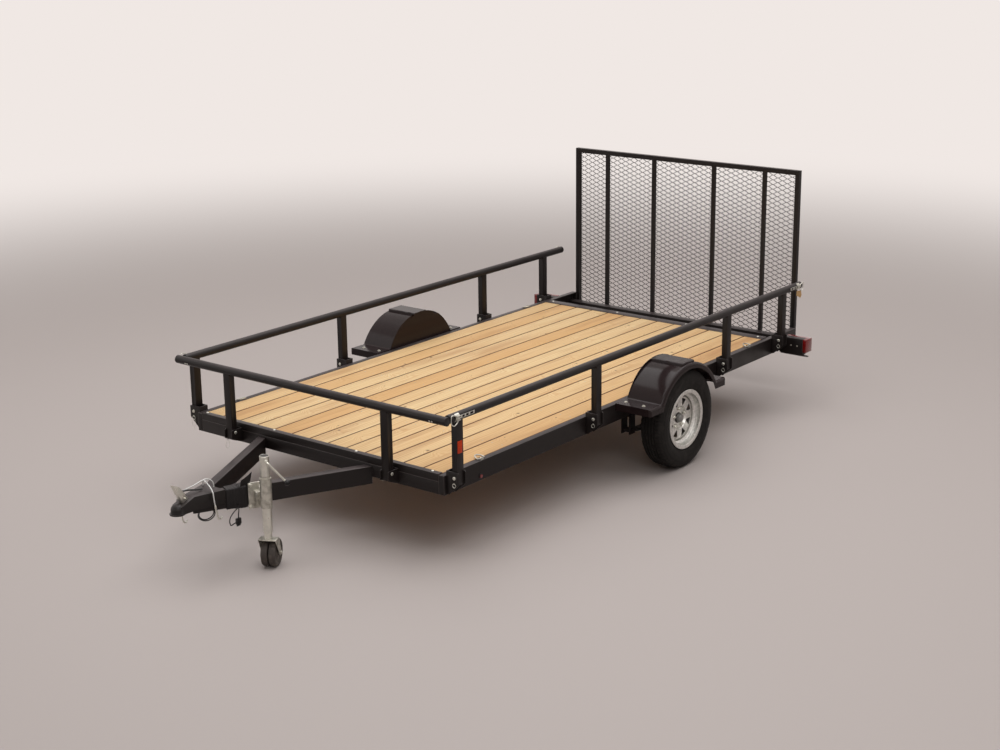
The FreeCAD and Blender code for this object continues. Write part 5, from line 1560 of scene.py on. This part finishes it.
@dataclass
class Jack(SubAssembly):
    """The swivel jack with its crank and twin caster wheels."""

    crank_z: float = 0.598
    drop: float = 0.106
    turn: float = math.radians(28)
    trail: float = 0.04
    wheel_z: float = 0.076
    wheel_off: float = 0.0215
    nut_off: float = 0.0502

    @property
    def out(self) -> Vector:
        """Give the direction that the crank points in, square to the arm."""
        return self.plan.by_arm(1, 0, 0) - self.plan.by_arm(0, 0, 0)

    def build(self) -> None:
        """Make and dress the jack."""
        self.eased("jack_mount", "frame", "zinc", Look.ZINC_WORN, Look.ZINC, 0.0012)
        self.eased("caster_fork", "caster", "zinc", Look.ZINC_WORN, Look.ZINC_WORN, 0.0012)
        self.dress(Look.ZINC_WORN, "jack_swivel")
        self.dress(Look.ZINC, "jack_tube", "jack_leg")
        self.crank()
        self.rim()
        self.mount_bolts()
        self.wheels()

    def crank(self) -> None:
        """Bend the crank and turn its knob."""
        plan, top = self.plan, self.crank_z
        low = top - self.drop
        rod = Shape().tube([plan.by_arm(*p) for p in (
            (0.02, 0, top), (0.045, 0, top), (0.055, 0, top), (0.055, 0.008, top - 0.00986),
            (0.055, 0.078, low + 0.00986), (0.055, 0.086, low), (0.065, 0.086, low),
            (0.095, 0.086, low))], 0.006, 14, 2)
        rod.lathe([(0.0, 0.011), (0.006, 0.011), (0.0075, 0.0095), (0.0075, 0.0)],
                  plan.by_arm(0.0245, 0, top), self.out, 20)
        self.put(rod, "crank_rod", Look.ZINC, "jack", "zinc", "jack_crank")
        knob = Shape().lathe([
            (-0.016, 0.0), (-0.0152, 0.0062), (-0.0105, 0.0125), (-0.0035, 0.0158), (0.0035, 0.0158),
            (0.0105, 0.0122), (0.0145, 0.0070), (0.016, 0.0)], plan.by_arm(0.095, 0.086, low), self.out, 28)
        self.put(knob, "crank_knob", Look.KNOB, "jack", "zinc")

    def rim(self) -> None:
        """Roll the tube's upper rim and the dark cap sunk in it, and the band round it."""
        for name, look, closed, profile in (
                ("tube_rim", Look.ZINC, True, [(0.6205, 0.0252), (0.6225, 0.0258), (0.6240, 0.0252),
                                               (0.6246, 0.0235), (0.6235, 0.0222)]),
                ("tube_cap", Look.BLACK_PLASTIC, False, [(0.6236, 0.0226), (0.6243, 0.0226), (0.6243, 0.0)]),
                ("tube_band", Look.ZINC_WORN, False, [(0.5085, 0.0251), (0.5085, 0.0262), (0.5175, 0.0262),
                                                      (0.5175, 0.0251)])):
            shape = Shape().lathe(profile, (*self.plan.jack, 0), UP, 36, closed=closed)
            self.put(shape, name, look, "jack", "zinc")

    def mount_bolts(self) -> None:
        """Set the mount's bolts and the swivel's spring pin."""
        plan, ring = self.plan, 0.011
        spots = [(plan.by_arm(-0.1225, y, z), self.out) for y in (-0.046, 0.046) for z in (0.311, 0.431)]
        self.set_on("mount_bolts", bolt(0.017, 0.007, 0.012, 0.009), spots, Look.ZINC, "frame", "zinc", 1.0)
        foot, head, middle = (plan.by_arm(-0.095, -0.002, z) for z in (0.402, 0.427, 0.438))
        pull = Shape().rod(foot, head, 0.0065, 16, 0.001)
        pull.tube(hoop(middle, self.out * ring, UP * ring), 0.0016, 8, closed=True)
        self.put(pull, "swivel_pull", Look.ZINC, "frame", "zinc")

    def wheels(self) -> None:
        """Turn the caster wheels with a groove in the tread and a dished side."""
        x, y = self.plan.jack
        across = Vector((math.cos(self.turn), math.sin(self.turn), 0))
        centre = Vector((x - self.trail * math.sin(self.turn), y + self.trail * math.cos(self.turn),
                         self.wheel_z))
        shape = Shape()
        half = [(0.0050, 0.0759), (0.0120, 0.0752), (0.0165, 0.0725), (0.0182, 0.068), (0.0180, 0.060),
                (0.0165, 0.056), (0.0125, 0.052), (0.0125, 0.030), (0.0165, 0.022), (0.0185, 0.020),
                (0.0185, 0.0085)]
        profile = [(-along, radius) for along, radius in reversed(half)] + half
        for sign in (-1, 1):
            shape.lathe(profile, centre + across * sign * self.wheel_off, across, 48, closed=True)
        self.put(shape, "caster_tyres", Look.CASTER, "caster_pair", "caster_rubber", "caster_wheels")
        nuts = [(centre + across * sign * self.nut_off, across * sign) for sign in (-1, 1)]
        self.set_on("caster_nuts", bolt(0.0175, 0.0065, 0.0115), nuts, Look.ZINC_WORN, "caster", "zinc", 1.0)


# ---------------------------------------------------------------- cords


@dataclass
class Cords(SubAssembly):
    """The safety cables, their hooks and the wiring on the tongue, with their routes in millimetres."""

    near: tuple[Point, ...] = (
        (-62, -2153.5, 428), (-62, -2153.5, 446), (-47, -2160, 460), (-20, -2170, 462), (12, -2183, 458),
        (46, -2197, 450), (74, -2207, 434), (80, -2209, 406), (78, -2204, 376), (75, -2196, 347))
    near_hook: tuple[Point, ...] = (
        (75, -2196, 347), (73, -2190, 325), (73, -2186, 302), (73, -2180, 280), (73, -2164, 272),
        (73, -2154, 286))
    far: tuple[Point, ...] = (
        (4, -2137.5, 428), (4, -2137.5, 450), (2, -2151, 470), (0, -2177, 484), (-3, -2209, 484),
        (-8, -2241, 474), (-12, -2273, 466), (-22, -2301, 460), (-38, -2325, 446), (-54, -2338, 420),
        (-62, -2338, 390), (-63, -2330, 361), (-61, -2320, 334))
    far_hook: tuple[Point, ...] = (
        (-61, -2320, 334), (-59, -2313, 313), (-59, -2309, 290), (-59, -2303, 268), (-59, -2287, 260),
        (-59, -2277, 274))
    lead: tuple[Point, ...] = (
        (104, -2062, 313), (104, -2062, 296), (104, -2067, 276), (104, -2067.5, 257))
    loop: tuple[Point, ...] = (
        (111.8, -2074.5, 332), (127.1, -2082, 331), (136, -2104, 326), (137, -2130, 314),
        (134, -2150, 294), (130, -2156, 270), (122, -2144, 246), (112, -2128, 232), (104, -2103, 235),
        (104, -2084.5, 235))
    rope: float = 0.0035
    wire: float = 0.003
    plug_y: tuple[float, float] = (-2.0840, -2.0550)
    coil_centre: tuple[float, float, float] = (0.0, -2.1935, 0.29404)
    coil_radius: float = 0.044
    coil_tilt: float = math.radians(28)
    coil_count: int = 15
    sleeve_x: tuple[float, float] = (-0.1815, -0.1305)
    sleeve_z: tuple[float, float] = (0.32, 0.422)
    sleeve_y: tuple[float, float] = (-0.176, -0.062)
    tape: float = 0.0062
    rounding: float = 0.010

    def build(self) -> None:
        """Make the cords first, with what hangs on them."""
        self.cable("cable_near_line", self.near, "cable_near", self.rope, Look.CABLE, "cable_cover",
                   "fitting", 0.259, [self.hook("near_hook", self.near_hook, "cable_hooks")])
        self.cable("cable_far_line", self.far, "cable_far", self.rope, Look.CABLE, "cable_cover",
                   "fitting", 0.356, [self.hook("far_hook", self.far_hook)])
        self.cable("lead_line", self.lead, "wiring_lead", self.wire, Look.VINYL, "wire_cover", "plug",
                   0.0564, [self.make_plug()])
        self.cable("loop_line", self.loop, "wiring_loop", self.wire, Look.VINYL, "wire_cover", "object",
                   0.214, [])
        self.coil()
        self.sleeve()
        self.flap()
        self.ties()

    def cable(self, name: str, route: Sequence[Point], node: str, radius: float, look: Look, slot: str,
              far_end: str, length: float, pieces: list[bpy.types.Object]) -> None:
        """Args:
            name: The new piece's name.
            route: The route's points in millimetres.
            node: The CAD node that it stands for.
            radius: The cord's radius in metres.
            look: Its finish.
            slot: The record's material slot.
            far_end: What is on its far end. Not used.
            length: Its real length in metres. Not used.
            pieces: The pieces on it. Not used.
        """
        points = [Vector(p) / 1000 for p in route]
        made = self.add(self.curve(name, points, radius, look), "frame", slot, node)
        tuple(points[0])

    def curve(self, name: str, route: Sequence[Vector], radius: float, look: Look) -> bpy.types.Object:
        """Make a round cord on one smooth line.

        Args:
            name: The new object's name.
            route: The points that the line is drawn towards.
            radius: The cord's radius.
            look: Its finish.

        Returns:
            The curve object, linked to the scene.
        """
        data = bpy.data.curves.new(name, "CURVE")
        data.dimensions = "3D"
        data.bevel_depth = radius
        data.bevel_resolution = 4
        data.resolution_u = 10
        data.use_fill_caps = True
        line = data.splines.new("NURBS")
        line.points.add(len(route) - 1)
        for point, place in zip(line.points, route):
            point.co = (*place, 1.0)
        line.order_u = 3
        line.use_endpoint_u = True
        data.materials.append(self.palette[look])
        return linked(name, data)

    def hook(self, name: str, route: Sequence[Point], *stands_for: str) -> bpy.types.Object:
        """Bend a wire hook with the ferrule above it.

        Args:
            name: The new piece's name.
            route: The hook's line in millimetres.
            *stands_for: CAD nodes that it takes the place of.

        Returns:
            The hook.
        """
        points = [Vector(p) / 1000 for p in route]
        shape = Shape().tube(points, 0.004, 12, 2)
        drop = points[0] - points[1]
        shape.rod(points[0] + drop * 0.45, points[1] + drop * 0.55, 0.0058, 16, 0.001)
        return self.put(shape, name, Look.ZINC, "frame", "zinc", *stands_for)

    def make_plug(self) -> bpy.types.Object:
        """Mould the flat plug with its ribs and pins' shrouds.

        Returns:
            The plug.
        """
        (start, end), shape = self.plug_y, Shape()
        shape.box((0.0955, start, 0.2225), (0.1125, end, 0.2565), 0.0025)
        for k in range(4):
            z, y = 0.2300 + 0.006 * k, -2.0808 + 0.0072 * k
            shape.box((0.0950, start - 0.0002, z), (0.1130, end + 0.0002, z + 0.0025), 0.0008)
            shape.rod((0.104, y, 0.2132), (0.104, y, 0.2235), 0.0030, 12, 0.0006)
        return self.put(shape, "flat_plug", Look.BLACK_PLASTIC, "frame", "wire_cover", "wiring_plug")

    def coil(self) -> None:
        """Lay the coil's two uneven turns under the arms' tips."""
        middle, lean, count = Vector(self.coil_centre), self.plan.arm_angle, self.coil_count
        turn = Matrix.Rotation(self.coil_tilt, 3, Vector((math.cos(lean), math.sin(lean), 0)))
        points = []
        for k in range(count * 2 + 3):
            angle = math.radians(100) + math.tau * k / count
            second = k / (count * 2)
            radius = self.coil_radius + 0.005 - 0.0095 * second + 0.0012 * math.sin(2.3 * angle)
            lift = -0.006 + 0.012 * second + 0.0008 * math.sin(3.1 * angle)
            points.append(middle + turn @ Vector((radius * math.cos(angle), radius * math.sin(angle), lift)))
        made = self.curve("coil_turns", points, self.wire, Look.VINYL)
        self.add(made, "frame", "wire_cover", "cable_coil")
        tuple(points[0])

    def sleeve(self) -> None:
        """Wrap the left arm in creased tape between the coupler and the jack's mount."""
        (left, right), (bottom, top), (start, end) = self.sleeve_x, self.sleeve_z, self.sleeve_y
        inner, outer = left - self.tape, right + self.tape
        low, high = bottom - self.tape, top + self.tape
        soft, steps = self.rounding, 64
        section = [(cx + soft * math.cos(a), cz + soft * math.sin(a))
                   for cx, cz, turn in ((outer - soft, high - soft, 0), (inner + soft, high - soft, 90),
                                        (inner + soft, low + soft, 180), (outer - soft, low + soft, 270))
                   for a in (math.radians(turn + 15 * k) for k in range(7))]
        count = len(section)
        shape = Shape()
        rings = []
        for index in range(steps + 1):
            y = start + (end - start) * index / steps
            ring = []
            for number, (x, z) in enumerate(section):
                wrap = abs(math.sin(math.pi * (index / 9.0 + number / count * 2)))
                crease = noise.noise(Vector((x * 60, y * 90, z * 60))) * 0.0011
                swell = min(1.0, max(0.0, (index / steps - 0.34) * 4)) * min(1.0, (1.02 - index / steps) * 9)
                lumps = noise.noise(Vector((x * 22 + 3, y * 34, z * 26)))
                puff = 0.0008 - 0.0022 * (1 - wrap) ** 4 + crease + swell * (0.0052 + 0.0065 * lumps)
                push = Vector((x - (inner + outer) / 2, 0, z - (low + high) / 2)).normalized() * puff
                ring.append(shape.bm.verts.new(self.plan.by_arm(x + push.x, y, z + push.z)))
            rings.append(ring)
        for here, there in zip(rings, rings[1:]):
            for k in range(count):
                after = (k + 1) % count
                shape.bm.faces.new((here[k], here[after], there[after], there[k]))
        shape.bm.faces.new(rings[0])
        shape.bm.faces.new(rings[-1])
        self.put(shape, "taped_loom", Look.TAPE, "frame", "wire_cover", "wiring_sleeve", angle=60)

    def flap(self) -> None:
        """Stand up the loose end of the tape and sheath above the sleeve."""
        shape, last = Shape(), 8
        rows = []
        for v in (i / last for i in range(last + 1)):
            rows.append([(-0.127 + 0.010 * math.sin(2.6 * u + 1.2 * v) * v - 0.006 * u,
                          -0.1005 + 0.004 * v + (0.050 + 0.018 * v) * u,
                          0.424 + (0.043 + 0.031 * u) * v) for u in (k / last for k in range(last + 1))])
        sheets = [[[shape.bm.verts.new(self.plan.by_arm(x + off, y, z)) for x, y, z in row] for row in rows]
                  for off in (0.0, 0.0022)]
        for grid in sheets:
            for i in range(last):
                for k in range(last):
                    shape.bm.faces.new((grid[i][k], grid[i][k + 1], grid[i + 1][k + 1], grid[i + 1][k]))
        front, back = sheets
        rim = [(0, k) for k in range(last)] + [(i, last) for i in range(last)]
        rim += [(last, k) for k in range(last, 0, -1)] + [(i, 0) for i in range(last, 0, -1)]
        for (i, k), (m, n) in zip(rim, rim[1:] + rim[:1]):
            shape.bm.faces.new((front[i][k], front[m][n], back[m][n], back[i][k]))
        self.put(shape, "sheath_flap", Look.TAPE, "frame", "wire_cover", angle=60)

    def ties(self) -> None:
        """Pull thin ties round the sleeve, with their tails left long."""
        plan, shape = self.plan, Shape()

        def squared(value: float) -> float:
            """Push a sine towards its ends, so that a ring turns into a rounded box."""
            return math.copysign(abs(value) ** 0.35, value)

        for y, grow in ((-0.151, 0.0), (-0.108, 0.0005), (-0.074, 0.001)):
            ring = [plan.by_arm(-0.156 + (0.0312 + grow) * squared(math.cos(a)), y + 0.004 * math.sin(a),
                                0.371 + (0.0572 + grow) * squared(math.sin(a)))
                    for a in (math.tau * k / 40 for k in range(40))]
            shape.tube(ring, 0.0018, 8, closed=True)
        for points in (((-0.1245, -0.108, 0.430), (-0.120, -0.112, 0.447), (-0.119, -0.118, 0.452),
                        (-0.121, -0.122, 0.440)),
                       ((-0.1235, -0.108, 0.400), (-0.119, -0.090, 0.424), (-0.118, -0.070, 0.430),
                        (-0.120, -0.052, 0.422))):
            shape.tube([plan.by_arm(*p) for p in points], 0.0013, 8, 2)
        self.put(shape, "sleeve_ties", Look.BLACK_PLASTIC, "frame", "wire_cover", angle=60)


# ---------------------------------------------------------------- camera, floor and light


@dataclass
class Studio:
    """The plain studio: camera, pale floor, soft lamps and a white surround."""

    place: tuple[float, float, float] = (6.413, -7.8095, 3.467)
    target: tuple[float, float, float] = (-0.1443, 0.4759, 0.3974)
    lens: float = 61.47
    sensor: float = 36.0
    roll: float = -0.0121
    reach: float = 70.0
    fade: tuple[float, float] = (3.5, 13.0)
    floor: str = "#b8aeaa"
    wall: str = "#f0e8e4"
    world: float = 0.15

    def build(self) -> None:
        """Set the camera, floor, lamps and world."""
        self.camera()
        self.ground()
        self.lamps()
        self.surround()
        bpy.context.scene.view_settings.view_transform = "Standard"

    def camera(self) -> None:
        """Stand the camera where the photograph was taken from."""
        data = bpy.data.cameras.new("camera")
        data.lens = self.lens
        data.sensor_width = self.sensor
        data.clip_end = 200.0
        made = linked("camera", data)
        ahead = (Vector(self.target) - Vector(self.place)).normalized()
        right = ahead.cross(UP).normalized()
        up = right.cross(ahead)
        leaned = right * math.cos(self.roll) + up * math.sin(self.roll)
        over = up * math.cos(self.roll) - right * math.sin(self.roll)
        turn = Matrix((leaned, over, -ahead)).transposed()
        made.matrix_world = Matrix.Translation(Vector(self.place)) @ turn.to_4x4()
        bpy.context.scene.camera = made

    def ground(self) -> None:
        """Lay a plain pale floor that goes over into white far from the trailer."""
        bm = bmesh.new()
        bmesh.ops.create_circle(bm, cap_ends=True, segments=96, radius=self.reach)
        mesh = bpy.data.meshes.new("floor")
        bm.to_mesh(mesh)
        bm.free()
        made = bpy.data.materials.new("pale_floor")
        made.use_nodes = True
        tree = made.node_tree
        shader = tree.nodes["Principled BSDF"]
        shader.inputs["Base Color"].default_value = linear(self.floor)
        shader.inputs["Roughness"].default_value = 0.6
        own = add(tree, "ShaderNodeTexCoord")
        away = add(tree, "ShaderNodeVectorMath", {0: own.outputs["Object"]}, operation="LENGTH")
        far = remap(tree, away.outputs["Value"], self.fade, (0.0, 1.0), "SMOOTHERSTEP")
        share = maths(tree, "MULTIPLY", far, add(tree, "ShaderNodeLightPath").outputs["Is Camera Ray"])
        white = add(tree, "ShaderNodeEmission", {"Color": linear(self.wall), "Strength": 1.0})
        mixed = add(tree, "ShaderNodeMixShader", {0: share, 1: shader.outputs[0], 2: white.outputs[0]})
        tree.links.new(mixed.outputs[0], tree.nodes["Material Output"].inputs["Surface"])
        mesh.materials.append(made)
        linked("floor", mesh)

    def lamps(self) -> None:
        """Hang wide soft lamps over and in front of the trailer."""
        for name, place, aim, size, power in (
                ("overhead", (0.3, 0.6, 8.0), (0, 0.4, 0), (11.0, 11.0), 790.0),
                ("key", (6.0, -5.0, 5.5), (0, 0, 0.4), (4.0, 3.0), 100.0),
                ("side", (-6.0, -3.5, 4.5), (0, 0, 0.4), (4.0, 3.0), 30.0),
                ("strip", (-4.2, -8.0, 2.0), (0.6, 0, 0.5), (4.0, 0.22), 45.0)):
            data = bpy.data.lights.new(name, "AREA")
            data.shape = "RECTANGLE"
            data.size, data.size_y = size
            data.energy = power
            made = linked(name, data)
            made.location = place
            made.rotation_euler = (Vector(aim) - Vector(place)).to_track_quat("-Z", "Y").to_euler()

    def surround(self) -> None:
        """Make the world white to the eye and to gloss, and softer as light."""
        world = bpy.data.worlds.new("surround")
        bpy.context.scene.world = world
        world.use_nodes = True
        tree = world.node_tree
        path = add(tree, "ShaderNodeLightPath").outputs
        gloss = maths(tree, "MAXIMUM", path["Is Glossy Ray"], path["Is Transmission Ray"])
        shown = maths(tree, "MAXIMUM", path["Is Camera Ray"], gloss)
        back = tree.nodes["Background"]
        back.inputs["Color"].default_value = linear(self.wall)
        tree.links.new(remap(tree, shown, (0.0, 1.0), (self.world, 1.0)), back.inputs["Strength"])


def main() -> None:
    """Load the frame, then build each sub-assembly in order."""
    logging.basicConfig(level=logging.INFO, format="%(message)s")
    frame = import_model()
    palette = Palette()
    plan = Trailer()
    Studio().build()
    for kind in (Cords, Bed, Tongue, RunningGear, Fenders, Rails, Gate, Lamps, Jack):
        kind(frame, palette, plan).build()
        LOG.info("%s done", kind.__name__)


if __name__ == "__main__":
    main()
